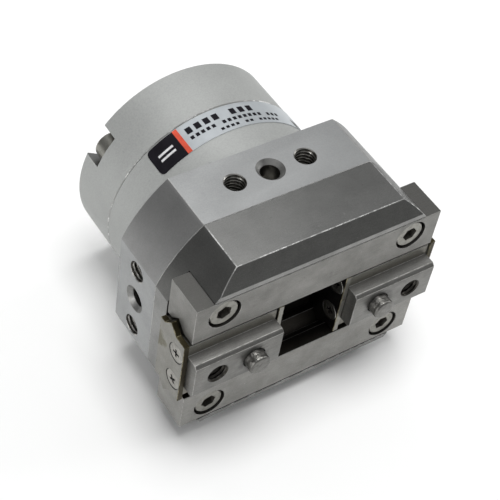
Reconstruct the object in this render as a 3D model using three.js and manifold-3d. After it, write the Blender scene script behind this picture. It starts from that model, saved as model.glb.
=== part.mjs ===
// Two-finger parallel air gripper driven by a double vane through a spiral cam.
//
// Working axes, in millimetres: x runs along the finger travel, y runs back from the front plane
// of the guide bars, z is up. The gripper lies on its lower body flat. The group is moved at the
// end so that the origin is the middle of the bounding box, on the resting plane.
import * as THREE from "three";
import { mergeVertices } from "three/addons/utils/BufferGeometryUtils.js";
import Module from "manifold-3d";

const wasm = await Module();
wasm.setup();

// ---- driving dimensions, millimetres -----------------------------------------------------------

// Body shell
const REAR_RADIUS = 20; // round rear of the housing, and the cap
const CORNER_RADIUS = 26.17; // round corners between the body flats
const TOP_FLAT = 20.4; // axis to the top and bottom flats
const SIDE_FLAT = 24.3; // axis to the left and right flats
const BASE_REAR = 11.5; // joint between the guide base and the housing
const FLAT_REAR = 22.8; // where the flats end and the round rear starts
const HOUSING_REAR = 34.15; // joint between the housing and the cap
const BODY_REAR = 45.35; // rear face of the cap
const JOINT_GAP = 0.15; // assembly gap between faces that are clamped together
const FIT_GAP = 0.1; // and between a part and the closer fitting part it sits in or runs against
const STRIP_EDGE = 16.8; // where the front slope meets the front plane
const SLOPE_DEPTH = 1.9; // how far back the front slope runs

// Mounting holes on the four flats
const HOLE_DEPTH_POSITION = 17.3;
const HOLE_PITCH = 7;
const HOLE_LENGTH = 6;
const TAP_RADIUS = 1.7; // core of an M4 thread
const TAP_MOUTH_RADIUS = 2.05;
const LOCATING_RADIUS = 1.75;
const LOCATING_MOUTH_RADIUS = 2.55;

// Guide bars and the channel they stand in
const GUIDE_HALF_LENGTH = 24.2;
const GUIDE_INNER = 7.45;
const GUIDE_OUTER = 15.6;
const GUIDE_DEPTH = 7.6;
const CHANNEL_FLOOR = 7.75;
const VEE_CENTRE = 4.4; // depth of the roller grooves
const VEE_DEPTH = 1.85; // 90 degree grooves, so also their half width
const WINDOW_HALF_LENGTH = 13.5; // opening in the channel floor for the drive pins
const WINDOW_HALF_WIDTH = 2.9;

// Socket head screws, M3
const SCREW_HEAD_RADIUS = 2.75;
const SCREW_HEAD_HEIGHT = 3;
const SCREW_RADIUS = 1.5;
const HEX_RADIUS = 2.5 / Math.sqrt(3); // 2.5 mm across flats
const HEX_DEPTH = 1.5;
const CLEARANCE_RADIUS = 1.65;
const THREAD_CORE_RADIUS = 1.6;
const COUNTERBORE_RADIUS = 3.02;
const GUIDE_SCREW_X = 18.6;
const GUIDE_SCREW_Z = 12.1;
const GUIDE_SCREW_SINK = 0.35;
const COUNTERBORE_DEPTH = 3.5;
const GUIDE_SCREW_TIP = 15.5;

// Fingers, in the open position
const FINGER_INNER = 7.45;
const FINGER_OUTER = 24.4;
const FINGER_FRONT = -2.35;
const FINGER_HALF_HEIGHT = 4.1;
const FINGER_CHAMFER = 0.6;
const FINGER_BASE_FRONT = 0.4;
const FINGER_BASE_HALF = 6.5;
const FINGER_REAR = 7.5;
const FINGER_STROKE = 3;
const FINGER_TAP_X = 19.85;
const FINGER_TAP_LENGTH = 6;
const PIN_FIT = 0.05;
const DOWEL_X = 12.8;
const DOWEL_RADIUS = 2;
const DOWEL_TIP = -4.4;
const DOWEL_ROOT = 1;
const DOWEL_CHAMFER = 0.35;

// End plates on the fingers, and their cross-recessed screws
const PLATE_THICKNESS = 1;
const PLATE_HALF_HEIGHT = 7.2;
const PLATE_FRONT = 0.05;
const PLATE_REAR = 7.4;
const PLATE_EAR_TIP = 8.95;
const PLATE_SCREW_DEPTH = 2.2;
const PLATE_SCREW_Z = 3.5;
const PLATE_SCREW_LENGTH = 4;
const PLATE_SCREW_RADIUS = 1;
const PLATE_HEAD_RADIUS = 1.85;
const PLATE_HEAD_SINK = 0.05;
const CROSS_WIDTH = 0.42;
const CROSS_LENGTH = 2;
const CROSS_DEPTH = 0.6;

// Crossed roller cages
const ROLLER_RADIUS = 1.58;
const ROLLER_LENGTH = 3;
const ROLLER_PITCH = 4.2;
const ROLLERS_PER_CAGE = 3;
const CAGE_HALF_LENGTH = 6.5;
const CAGE_THICKNESS = 0.55;
const CAGE_HALF_WIDTH = 2.4;

// Cam and drive pins
const CAM_FRONT = 12;
const CAM_REAR = 14.7;
const CAM_RADIUS = 14.6;
const CAM_POCKET_RADIUS = 15.2;
const CAM_POCKET_REAR = 15;
const CAM_TURN = Math.PI / 2; // rotor swing from open to closed
const DRIVE_OPEN_RADIUS = 11;
const DRIVE_PIN_RADIUS = 1.5;
const DRIVE_PIN_FRONT = 4.3;
const DRIVE_ROLLER_RADIUS = 2;
const DRIVE_ROLLER_BORE = 1.55;
const CAM_SLOT_HALF_WIDTH = 2.1;
const CAM_SLOT_OVERRUN = 0.05; // extra swing at each slot end, radians
const CAM_SOCKET_DEPTH = 1.2;
const CAM_SCREW_TIP = 20;

// Rotor, chamber, bearings and seals
const SHAFT_RADIUS = 4;
const SHAFT_REAR = 39;
const SHAFT_HOLE_RADIUS = 4.4;
const SHAFT_FLAT = 3.4;
const SHAFT_END_GAP = 0.4;
const CHAMBER_RADIUS = 14;
const CHAMBER_FRONT = 21;
const SPIGOT_FRONT = 32.3;
const SPIGOT_RADIUS = 13.8;
const HUB_RADIUS = 6.2;
const VANE_RADIUS = 12.6;
const VANE_HALF_THICKNESS = 2;
const VANE_ANGLE = THREE.MathUtils.degToRad(110);
const VANE_END_GAP = 0.2;
const VANE_SEAL_HALF = 1.4;
const VANE_SEAL_RADIUS = 13.85;
const STOP_ANGLE = THREE.MathUtils.degToRad(-25);
const STOP_HALF_ANGLE = THREE.MathUtils.degToRad(24.8);
const STOP_INNER_RADIUS = 6.4;
const STOP_OUTER_RADIUS = 13.85;
const BEARING_OUTER = 7.95;
const BEARING_BORE = 4.03;
const BEARING_POCKET_RADIUS = 8.05;
const BEARING_WIDTH = 3;
const SHIELD_RECESS = 0.25;
const SHIELD_MARGIN = 1; // metal left inside and outside each shield
const FRONT_BEARING_FRONT = 16.4;
const FRONT_POCKET_FRONT = 16.2;
const REAR_BEARING_FRONT = 34.3;
const REAR_POCKET_REAR = 37.5;
const SEAL_WIDTH = 1.3;
const SEAL_BORE = 4.1;
const FRONT_SEAL_FRONT = 19.6;
const REAR_SEAL_FRONT = 32.7;
const O_RING_RADIUS = 13.35;
const O_RING_THICKNESS = 0.36;
const O_RING_GROOVE_RADIUS = 12.9;
const O_RING_GROOVE_HALF = 0.5;
const O_RING_CENTRE = 33.3;

// Cap screws in notches on the rear rim, and air ports in the round rear
const CAP_SCREW_ANGLES = [150, 330].map(THREE.MathUtils.degToRad);
const CAP_SCREW_CIRCLE = 17;
const CAP_SCREW_TIP = 28;
const NOTCH_FLOOR = 41.25;
const NOTCH_HALF_WIDTH = 3.2;
const CAP_CHAMFER = 0.4;
const PORT_ANGLES = [9, -59].map(THREE.MathUtils.degToRad);
const PORT_RADIUS = 2.1; // core of an M5 thread
const PORT_DEPTH_POSITION = 27;
const PORT_FACE_RADIUS = 3.4;
const PORT_FACE_LEVEL = 19.4;

// Name label on the round rear
const LABEL_FRONT = 28.2;
const LABEL_REAR = 33.9;
const LABEL_START = THREE.MathUtils.degToRad(27);
const LABEL_END = THREE.MathUtils.degToRad(133);
const LABEL_INNER = 20.08;
const LABEL_OUTER = 20.28;

// Facets round each size of circle
const SHELL_FACETS = 64;
const ROUND_FACETS = 32;
const O_RING_FACETS = 40;
const BEARING_FACETS = 24;
const HOLE_FACETS = 16;
const SMALL_FACETS = 10;
const O_RING_SECTION_FACETS = 6;
const HEX_SIDES = 6;
const ARC_STEPS = 6;
const LABEL_STEPS = 18;
const SEAL_TIP_STEPS = 4;
const CAM_SLOT_STEPS = 9;
const OVERCUT = 1; // how far a cutting tool runs past the face it opens
const WELD_DISTANCE = 1e-4; // corners closer than this are one corner

// ---- solids ------------------------------------------------------------------------------------

// A closed three.js geometry as a solid that can be added to, cut and intersected.
function solid(geometry) {
  const bare = geometry.clone();
  bare.deleteAttribute("normal");
  bare.deleteAttribute("uv");
  const merged = mergeVertices(bare, WELD_DISTANCE);
  return new wasm.Manifold(
    new wasm.Mesh({
      numProp: 3,
      vertProperties: merged.attributes.position.array,
      triVerts: new Uint32Array(merged.index.array),
    }),
  );
}

const joined = (first, ...others) => others.reduce((all, other) => all.add(other), first);
const cut = (body, ...tools) => tools.reduce((left, tool) => left.subtract(tool), body);
const mirrorPair = (make) => [-1, 1].map(make);

// A prism whose [x, z] outline runs from depth y0 to y1.
function prismAlongY(outline, y0, y1) {
  const shape = new THREE.Shape(outline.map(([x, z]) => new THREE.Vector2(x, z)));
  const geometry = new THREE.ExtrudeGeometry(shape, { depth: y1 - y0, bevelEnabled: false });
  return solid(geometry.rotateX(Math.PI / 2).translate(0, y1, 0));
}

// A prism whose [y, z] outline runs from x0 to x1.
function prismAlongX(outline, x0, x1) {
  const shape = new THREE.Shape(outline.map(([y, z]) => new THREE.Vector2(y, z)));
  const geometry = new THREE.ExtrudeGeometry(shape, { depth: x1 - x0, bevelEnabled: false });
  const turn = new THREE.Matrix4().makeBasis(
    new THREE.Vector3(0, 1, 0),
    new THREE.Vector3(0, 0, 1),
    new THREE.Vector3(1, 0, 0),
  );
  return solid(geometry.applyMatrix4(turn).translate(x0, 0, 0));
}

// A solid of revolution about the y axis from [radius, y] pairs in order of depth.
function turned(profile, facets = ROUND_FACETS) {
  return new THREE.LatheGeometry(
    profile.map(([r, y]) => new THREE.Vector2(r, y)),
    facets,
  );
}

// A ring about the y axis: its profile closes on itself.
function ring(inner, outer, y0, y1, facets = BEARING_FACETS) {
  const corners = [
    [inner, y0],
    [outer, y0],
    [outer, y1],
    [inner, y1],
    [inner, y0],
  ];
  return solid(turned(corners, facets));
}

// A cylinder along y, from depth y0 to y1, standing at (x, z).
function rod(radius, y0, y1, x = 0, z = 0, facets = HOLE_FACETS) {
  const geometry = new THREE.CylinderGeometry(radius, radius, y1 - y0, facets);
  return solid(geometry.translate(x, (y0 + y1) / 2, z));
}

function box(x0, x1, y0, y1, z0, z1) {
  const geometry = new THREE.BoxGeometry(x1 - x0, y1 - y0, z1 - z0);
  return solid(geometry.translate((x0 + x1) / 2, (y0 + y1) / 2, (z0 + z1) / 2));
}

// Points on a circle about the y axis, as [x, z] pairs.
function arc(radius, from, to, steps = ARC_STEPS) {
  return Array.from({ length: steps + 1 }, (_, i) => {
    const angle = from + ((to - from) * i) / steps;
    return [radius * Math.cos(angle), radius * Math.sin(angle)];
  });
}

// Turns a geometry whose own y axis is an outward hole axis so that it points along the angle
// in the x-z plane, and sets it at a depth.
function faceOutward(geometry, angle, depth) {
  return geometry.rotateZ(-Math.PI / 2).rotateY(-angle).translate(0, depth, 0);
}

function material(color, metalness, roughness) {
  return () => new THREE.MeshStandardMaterial({ color, metalness, roughness });
}

const anodised = material(0xb4b2ac, 0.6, 0.5);
const machined = material(0x77766f, 0.8, 0.4);
const steel = material(0x94928a, 0.9, 0.35);
const plated = material(0x9d9a90, 0.9, 0.3);
const darkSteel = material(0x55544f, 0.8, 0.4);
const rubber = material(0x1c1c1c, 0, 0.8);
const brass = material(0xa98a4a, 0.9, 0.35);
const foil = material(0xc8cccf, 0.5, 0.4);

const group = new THREE.Group();

function addPart(name, body, makeMaterial) {
  const mesh = body.getMesh();
  const geometry = new THREE.BufferGeometry();
  const stride = mesh.numProp;
  const positions = new Float32Array(mesh.numVert * 3);
  for (let i = 0; i < mesh.numVert; i++) {
    positions.set(mesh.vertProperties.subarray(i * stride, i * stride + 3), i * 3);
  }
  geometry.setAttribute("position", new THREE.BufferAttribute(positions, 3));
  geometry.setIndex(new THREE.BufferAttribute(mesh.triVerts, 1));
  const made = new THREE.Mesh(geometry, makeMaterial());
  made.name = name;
  group.add(made);
}

// ---- body shell --------------------------------------------------------------------------------

// Four flats joined by round corners, as seen from the front.
function bodyOutline() {
  const low = Math.acos(SIDE_FLAT / CORNER_RADIUS);
  const high = Math.asin(TOP_FLAT / CORNER_RADIUS);
  return [
    ...arc(CORNER_RADIUS, low, high),
    ...arc(CORNER_RADIUS, Math.PI - high, Math.PI - low),
    ...arc(CORNER_RADIUS, Math.PI + low, Math.PI + high),
    ...arc(CORNER_RADIUS, 2 * Math.PI - high, 2 * Math.PI - low),
  ];
}

// Three holes in a row on each flat: a plain locating hole between two threaded ones.
function flatHoles() {
  const holes = [];
  const flats = [
    [0, SIDE_FLAT],
    [Math.PI / 2, TOP_FLAT],
    [Math.PI, SIDE_FLAT],
    [-Math.PI / 2, TOP_FLAT],
  ];
  for (const [angle, level] of flats) {
    for (const place of [-1, 0, 1]) {
      const bore = place === 0 ? LOCATING_RADIUS : TAP_RADIUS;
      const mouth = place === 0 ? LOCATING_MOUTH_RADIUS : TAP_MOUTH_RADIUS;
      const profile = [
        [0, level - HOLE_LENGTH],
        [bore, level - HOLE_LENGTH],
        [bore, level - (mouth - bore)],
        [mouth + OVERCUT, level + OVERCUT],
        [0, level + OVERCUT],
      ];
      const hole = turned(profile, HOLE_FACETS).translate(0, 0, place * HOLE_PITCH);
      holes.push(solid(faceOutward(hole, angle, HOLE_DEPTH_POSITION)));
    }
  }
  return holes;
}

function guideScrewPlaces() {
  return mirrorPair((sz) => mirrorPair((sx) => [sx * GUIDE_SCREW_X, sz * GUIDE_SCREW_Z])).flat();
}

function capScrewPlaces() {
  return CAP_SCREW_ANGLES.map((angle) => [
    CAP_SCREW_CIRCLE * Math.cos(angle),
    CAP_SCREW_CIRCLE * Math.sin(angle),
  ]);
}

// An M5 air port with a small spot face, opening into the vane chamber.
function airPort(angle) {
  const profile = [
    [0, CHAMBER_RADIUS - OVERCUT],
    [PORT_RADIUS, CHAMBER_RADIUS - OVERCUT],
    [PORT_RADIUS, PORT_FACE_LEVEL],
    [PORT_FACE_RADIUS, PORT_FACE_LEVEL],
    [PORT_FACE_RADIUS, REAR_RADIUS + OVERCUT],
    [0, REAR_RADIUS + OVERCUT],
  ];
  return solid(faceOutward(turned(profile, HOLE_FACETS), angle, PORT_DEPTH_POSITION));
}

function housing() {
  const front = BASE_REAR + JOINT_GAP;
  const square = prismAlongY(bodyOutline(), front, FLAT_REAR);
  const round = rod(REAR_RADIUS, FLAT_REAR - OVERCUT, HOUSING_REAR, 0, 0, SHELL_FACETS);
  const camPocket = rod(CAM_POCKET_RADIUS, front - OVERCUT, CAM_POCKET_REAR, 0, 0, ROUND_FACETS);
  const shaftHole = rod(SHAFT_HOLE_RADIUS, front, CHAMBER_FRONT, 0, 0, ROUND_FACETS);
  const bearingPocket = rod(
    BEARING_POCKET_RADIUS,
    FRONT_POCKET_FRONT,
    CHAMBER_FRONT + OVERCUT,
    0,
    0,
    ROUND_FACETS,
  );
  const chamber = rod(
    CHAMBER_RADIUS,
    CHAMBER_FRONT,
    HOUSING_REAR + OVERCUT,
    0,
    0,
    ROUND_FACETS,
  );
  const guideThreads = guideScrewPlaces().map(([x, z]) =>
    rod(THREAD_CORE_RADIUS, front - OVERCUT, GUIDE_SCREW_TIP + OVERCUT, x, z, SMALL_FACETS),
  );
  const capThreads = capScrewPlaces().map(([x, z]) =>
    rod(THREAD_CORE_RADIUS, CAP_SCREW_TIP - OVERCUT, HOUSING_REAR + OVERCUT, x, z, SMALL_FACETS),
  );
  return cut(
    joined(square, round),
    camPocket,
    shaftHole,
    bearingPocket,
    chamber,
    ...flatHoles(),
    ...guideThreads,
    ...capThreads,
    ...PORT_ANGLES.map(airPort),
  );
}

// The wedge that slopes one front edge of the guide base back from the front plane.
function frontSlope(side) {
  const rise = (TOP_FLAT - STRIP_EDGE) / SLOPE_DEPTH;
  const far = 2 * SLOPE_DEPTH;
  const wedge = [
    [-OVERCUT, side * (STRIP_EDGE - rise * OVERCUT)],
    [far, side * (STRIP_EDGE + rise * far)],
    [-OVERCUT, side * (STRIP_EDGE + rise * far)],
  ];
  return prismAlongX(wedge, -CORNER_RADIUS, CORNER_RADIUS);
}

function guideBase() {
  const channelHalf = GUIDE_OUTER + JOINT_GAP;
  const channel = box(
    -CORNER_RADIUS,
    CORNER_RADIUS,
    -OVERCUT,
    CHANNEL_FLOOR,
    -channelHalf,
    channelHalf,
  );
  const windowOutline = [
    ...arc(WINDOW_HALF_WIDTH, -Math.PI / 2, Math.PI / 2).map(([x, z]) => [
      x + WINDOW_HALF_LENGTH - WINDOW_HALF_WIDTH,
      z,
    ]),
    ...arc(WINDOW_HALF_WIDTH, Math.PI / 2, (3 * Math.PI) / 2).map(([x, z]) => [
      x - WINDOW_HALF_LENGTH + WINDOW_HALF_WIDTH,
      z,
    ]),
  ];
  const pinWindow = prismAlongY(windowOutline, CHANNEL_FLOOR - OVERCUT, BASE_REAR + OVERCUT);
  const screwHoles = guideScrewPlaces().map(([x, z]) =>
    rod(CLEARANCE_RADIUS, CHANNEL_FLOOR - OVERCUT, BASE_REAR + OVERCUT, x, z, SMALL_FACETS),
  );
  return cut(
    prismAlongY(bodyOutline(), 0, BASE_REAR),
    channel,
    pinWindow,
    ...screwHoles,
    ...mirrorPair(frontSlope),
  );
}

// A notch in the rear rim, rounded about the screw and open to the outside.
function capNotch(angle) {
  const reach = REAR_RADIUS + OVERCUT;
  const rounded = arc(NOTCH_HALF_WIDTH, Math.PI / 2, (3 * Math.PI) / 2).map(([x, z]) => [
    x + CAP_SCREW_CIRCLE,
    z,
  ]);
  const outline = [...rounded, [reach, -NOTCH_HALF_WIDTH], [reach, NOTCH_HALF_WIDTH]];
  const turnedOutline = outline.map(([x, z]) => [
    x * Math.cos(angle) - z * Math.sin(angle),
    x * Math.sin(angle) + z * Math.cos(angle),
  ]);
  return prismAlongY(turnedOutline, NOTCH_FLOOR, BODY_REAR + OVERCUT);
}

function rearCap() {
  const front = HOUSING_REAR + JOINT_GAP;
  const profile = [
    [0, SPIGOT_FRONT],
    [SPIGOT_RADIUS, SPIGOT_FRONT],
    [SPIGOT_RADIUS, O_RING_CENTRE - O_RING_GROOVE_HALF],
    [O_RING_GROOVE_RADIUS, O_RING_CENTRE - O_RING_GROOVE_HALF],
    [O_RING_GROOVE_RADIUS, O_RING_CENTRE + O_RING_GROOVE_HALF],
    [SPIGOT_RADIUS, O_RING_CENTRE + O_RING_GROOVE_HALF],
    [SPIGOT_RADIUS, front],
    [REAR_RADIUS, front],
    [REAR_RADIUS, BODY_REAR - CAP_CHAMFER],
    [REAR_RADIUS - CAP_CHAMFER, BODY_REAR],
    [0, BODY_REAR],
  ];
  const bearingPocket = rod(
    BEARING_POCKET_RADIUS,
    SPIGOT_FRONT - OVERCUT,
    REAR_POCKET_REAR,
    0,
    0,
    ROUND_FACETS,
  );
  const shaftHole = rod(
    SHAFT_HOLE_RADIUS,
    SPIGOT_FRONT,
    SHAFT_REAR + SHAFT_END_GAP,
    0,
    0,
    ROUND_FACETS,
  );
  const screwHoles = capScrewPlaces().map(([x, z]) =>
    rod(CLEARANCE_RADIUS, front - OVERCUT, NOTCH_FLOOR + OVERCUT, x, z, SMALL_FACETS),
  );
  return cut(
    solid(turned(profile, SHELL_FACETS)),
    bearingPocket,
    shaftHole,
    ...screwHoles,
    ...CAP_SCREW_ANGLES.map(capNotch),
  );
}

// side is +1 for the upper bar and -1 for the lower one.
function guideBar(side) {
  const outline = [
    [0, side * GUIDE_INNER],
    [0, side * GUIDE_OUTER],
    [GUIDE_DEPTH, side * GUIDE_OUTER],
    [GUIDE_DEPTH, side * GUIDE_INNER],
    [VEE_CENTRE + VEE_DEPTH, side * GUIDE_INNER],
    [VEE_CENTRE, side * (GUIDE_INNER + VEE_DEPTH)],
    [VEE_CENTRE - VEE_DEPTH, side * GUIDE_INNER],
  ];
  const holes = mirrorPair((sx) => {
    const x = sx * GUIDE_SCREW_X;
    const z = side * GUIDE_SCREW_Z;
    return joined(
      rod(COUNTERBORE_RADIUS, -OVERCUT, COUNTERBORE_DEPTH, x, z),
      rod(CLEARANCE_RADIUS, 0, GUIDE_DEPTH + OVERCUT, x, z, SMALL_FACETS),
    );
  });
  return cut(prismAlongX(outline, -GUIDE_HALF_LENGTH, GUIDE_HALF_LENGTH), ...holes);
}

// A socket head screw along y. The head's outer face is at headFace, and toward is +1 when the
// shank runs on to larger depths, -1 when it runs to smaller ones.
function socketScrew(x, z, headFace, toward, tip) {
  const under = headFace + toward * SCREW_HEAD_HEIGHT;
  const span = (a, b) => [Math.min(a, b), Math.max(a, b)];
  const head = rod(SCREW_HEAD_RADIUS, ...span(headFace, under), x, z, HOLE_FACETS);
  const shank = rod(SCREW_RADIUS, ...span(under - toward * HEX_DEPTH, tip), x, z, SMALL_FACETS);
  const hexFrom = headFace - toward * OVERCUT;
  const hex = rod(HEX_RADIUS, ...span(hexFrom, headFace + toward * HEX_DEPTH), x, z, HEX_SIDES);
  return cut(joined(head, shank), hex);
}

function nameLabel() {
  const outline = [
    ...arc(LABEL_OUTER, LABEL_START, LABEL_END, LABEL_STEPS),
    ...arc(LABEL_INNER, LABEL_END, LABEL_START, LABEL_STEPS),
  ];
  return prismAlongY(outline, LABEL_FRONT, LABEL_REAR);
}

// ---- fingers and what moves with them ----------------------------------------------------------

// Finger parts are built for the finger on the +x side. The other finger is the same part turned
// half a turn about the body axis, so its parts are turned the same way.
function turnedHalf(body) {
  return body.rotate([0, 180, 0]);
}

function finger() {
  const half = [
    [FINGER_FRONT, FINGER_HALF_HEIGHT - FINGER_CHAMFER],
    [FINGER_FRONT + FINGER_CHAMFER, FINGER_HALF_HEIGHT],
    [FINGER_BASE_FRONT, FINGER_HALF_HEIGHT],
    [FINGER_BASE_FRONT, FINGER_BASE_HALF],
    [VEE_CENTRE - VEE_DEPTH, FINGER_BASE_HALF],
    [VEE_CENTRE, FINGER_BASE_HALF - VEE_DEPTH],
    [VEE_CENTRE + VEE_DEPTH, FINGER_BASE_HALF],
    [FINGER_REAR, FINGER_BASE_HALF],
  ];
  const outline = [...half, ...half.map(([y, z]) => [y, -z]).reverse()];
  const tapProfile = [
    [0, FINGER_FRONT - OVERCUT],
    [TAP_MOUTH_RADIUS + OVERCUT, FINGER_FRONT - OVERCUT],
    [TAP_RADIUS, FINGER_FRONT + TAP_MOUTH_RADIUS - TAP_RADIUS],
    [TAP_RADIUS, FINGER_FRONT + FINGER_TAP_LENGTH],
    [0, FINGER_FRONT + FINGER_TAP_LENGTH],
  ];
  const tap = solid(turned(tapProfile, HOLE_FACETS).translate(FINGER_TAP_X, 0, 0));
  const dowelHole = rod(
    DOWEL_RADIUS + PIN_FIT,
    FINGER_FRONT - OVERCUT,
    DOWEL_ROOT + PIN_FIT,
    DOWEL_X,
    0,
  );
  const driveHole = rod(
    DRIVE_PIN_RADIUS + PIN_FIT,
    DRIVE_PIN_FRONT - PIN_FIT,
    FINGER_REAR + OVERCUT,
    DRIVE_OPEN_RADIUS,
    0,
  );
  const screwHoles = plateScrewPlaces().map(({ x, z, out }) => {
    const mouth = x - out * (PLATE_THICKNESS + FIT_GAP - OVERCUT);
    const end = x - out * (PLATE_SCREW_LENGTH + FIT_GAP);
    return barrel(PLATE_SCREW_RADIUS + FIT_GAP, mouth, end, z);
  });
  return cut(
    prismAlongX(outline, FINGER_INNER, FINGER_OUTER),
    tap,
    dowelHole,
    driveHole,
    ...screwHoles,
  );
}

// A cylinder along x between two x values, at the depth of the plate screws.
function barrel(radius, xa, xb, z) {
  const geometry = new THREE.CylinderGeometry(radius, radius, Math.abs(xa - xb), SMALL_FACETS);
  return solid(geometry.rotateZ(Math.PI / 2).translate((xa + xb) / 2, PLATE_SCREW_DEPTH, z));
}

// The outer face of each end plate: x is the face, out is the direction it looks.
function plateFaces() {
  return [
    { key: "inner", x: FINGER_INNER - FIT_GAP - PLATE_THICKNESS, out: -1 },
    { key: "outer", x: FINGER_OUTER + FIT_GAP + PLATE_THICKNESS, out: 1 },
  ];
}

function plateScrewPlaces() {
  return plateFaces().flatMap(({ key, x, out }) =>
    mirrorPair((sz) => ({ key, x, out, z: sz * PLATE_SCREW_Z, side: sz })),
  );
}

// A countersunk shape along x: a cone from headRadius to bodyRadius, then a straight shank.
function countersunk(x, z, out, headRadius, bodyRadius, length, facets) {
  const profile = [
    [0, -length],
    [bodyRadius, -length],
    [bodyRadius, bodyRadius - headRadius],
    [headRadius, 0],
    [0, 0],
  ];
  const geometry = turned(profile, facets).rotateZ(out * (-Math.PI / 2));
  return solid(geometry.translate(x, PLATE_SCREW_DEPTH, z));
}

function endPlate({ x, out }) {
  const half = [
    [PLATE_FRONT, PLATE_HALF_HEIGHT],
    [VEE_CENTRE - VEE_DEPTH + FIT_GAP, PLATE_HALF_HEIGHT],
    [VEE_CENTRE, PLATE_EAR_TIP],
    [VEE_CENTRE + VEE_DEPTH - FIT_GAP, PLATE_HALF_HEIGHT],
    [PLATE_REAR, PLATE_HALF_HEIGHT],
  ];
  const outline = [...half, ...half.map(([y, z]) => [y, -z]).reverse()];
  const inside = x - out * PLATE_THICKNESS;
  const holes = mirrorPair((sz) =>
    countersunk(
      x + out * FIT_GAP,
      sz * PLATE_SCREW_Z,
      out,
      PLATE_HEAD_RADIUS + 2 * FIT_GAP,
      PLATE_SCREW_RADIUS + FIT_GAP,
      2 * PLATE_THICKNESS,
      SMALL_FACETS,
    ),
  );
  return cut(prismAlongX(outline, Math.min(x, inside), Math.max(x, inside)), ...holes);
}

function plateScrew({ x, z, out }) {
  const face = x - out * PLATE_HEAD_SINK;
  const body = countersunk(
    face,
    z,
    out,
    PLATE_HEAD_RADIUS,
    PLATE_SCREW_RADIUS,
    PLATE_SCREW_LENGTH - PLATE_HEAD_SINK,
    SMALL_FACETS,
  );
  const floor = face - out * CROSS_DEPTH;
  const [x0, x1] = [Math.min(floor, face + out), Math.max(floor, face + out)];
  const arm = (halfY, halfZ) =>
    box(x0, x1, PLATE_SCREW_DEPTH - halfY, PLATE_SCREW_DEPTH + halfY, z - halfZ, z + halfZ);
  return cut(
    body,
    arm(CROSS_LENGTH / 2, CROSS_WIDTH / 2),
    arm(CROSS_WIDTH / 2, CROSS_LENGTH / 2),
  );
}

function dowelPin() {
  const profile = [
    [0, DOWEL_TIP],
    [DOWEL_RADIUS - DOWEL_CHAMFER, DOWEL_TIP],
    [DOWEL_RADIUS, DOWEL_TIP + DOWEL_CHAMFER],
    [DOWEL_RADIUS, DOWEL_ROOT],
    [0, DOWEL_ROOT],
  ];
  return solid(turned(profile, HOLE_FACETS).translate(DOWEL_X, 0, 0));
}

function drivePin() {
  const rear = CAM_REAR - JOINT_GAP;
  return rod(DRIVE_PIN_RADIUS, DRIVE_PIN_FRONT, rear, DRIVE_OPEN_RADIUS, 0, HOLE_FACETS);
}

function driveRoller() {
  const sleeve = rod(
    DRIVE_ROLLER_RADIUS,
    CAM_FRONT + JOINT_GAP,
    CAM_REAR - JOINT_GAP,
    DRIVE_OPEN_RADIUS,
    0,
    HOLE_FACETS,
  );
  const bore = rod(DRIVE_ROLLER_BORE, CAM_FRONT, CAM_REAR, DRIVE_OPEN_RADIUS, 0, HOLE_FACETS);
  return cut(sleeve, bore);
}

// A cage strip with crossed rollers, between the +x finger and one guide bar.
function rollerCage(side) {
  const middle = (FINGER_INNER + FINGER_OUTER) / 2;
  const gapCentre = (side * (GUIDE_INNER + FINGER_BASE_HALF)) / 2;
  const strip = box(
    middle - CAGE_HALF_LENGTH,
    middle + CAGE_HALF_LENGTH,
    VEE_CENTRE - CAGE_HALF_WIDTH,
    VEE_CENTRE + CAGE_HALF_WIDTH,
    gapCentre - CAGE_THICKNESS / 2,
    gapCentre + CAGE_THICKNESS / 2,
  );
  const rollers = Array.from({ length: ROLLERS_PER_CAGE }, (_, i) => {
    const tilt = i % 2 === 0 ? Math.PI / 4 : -Math.PI / 4;
    const x = middle + (i - (ROLLERS_PER_CAGE - 1) / 2) * ROLLER_PITCH;
    const geometry = new THREE.CylinderGeometry(
      ROLLER_RADIUS,
      ROLLER_RADIUS,
      ROLLER_LENGTH,
      HOLE_FACETS,
    );
    return solid(geometry.rotateX(tilt).translate(x, VEE_CENTRE, gapCentre));
  });
  return joined(strip, ...rollers);
}

// ---- rotor and what it runs in -----------------------------------------------------------------

// One spiral slot: the drive pin stands at its outer end when the fingers are open, and the slot
// pulls it in by the stroke at a constant rate over the swing.
function camSlot(startAngle) {
  const rate = FINGER_STROKE / CAM_TURN;
  const left = [];
  const right = [];
  const from = -CAM_SLOT_OVERRUN;
  const to = CAM_TURN + CAM_SLOT_OVERRUN;
  const place = (angle, radius) => [
    radius * Math.cos(angle + startAngle),
    radius * Math.sin(angle + startAngle),
  ];
  const heading = (angle) => {
    const radius = DRIVE_OPEN_RADIUS - rate * angle;
    return angle + startAngle + Math.atan2(radius, -rate);
  };
  for (let i = 0; i <= CAM_SLOT_STEPS; i++) {
    const angle = from + ((to - from) * i) / CAM_SLOT_STEPS;
    const [x, z] = place(angle, DRIVE_OPEN_RADIUS - rate * angle);
    const across = heading(angle) - Math.PI / 2;
    const dx = CAM_SLOT_HALF_WIDTH * Math.cos(across);
    const dz = CAM_SLOT_HALF_WIDTH * Math.sin(across);
    right.push([x + dx, z + dz]);
    left.push([x - dx, z - dz]);
  }
  const slot = prismAlongY([...right, ...left.reverse()], CAM_FRONT - OVERCUT, CAM_REAR + OVERCUT);
  const ends = [from, to].map((angle) => {
    const [x, z] = place(angle, DRIVE_OPEN_RADIUS - rate * angle);
    return rod(CAM_SLOT_HALF_WIDTH, CAM_FRONT - OVERCUT, CAM_REAR + OVERCUT, x, z, HOLE_FACETS);
  });
  return joined(slot, ...ends);
}

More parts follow.
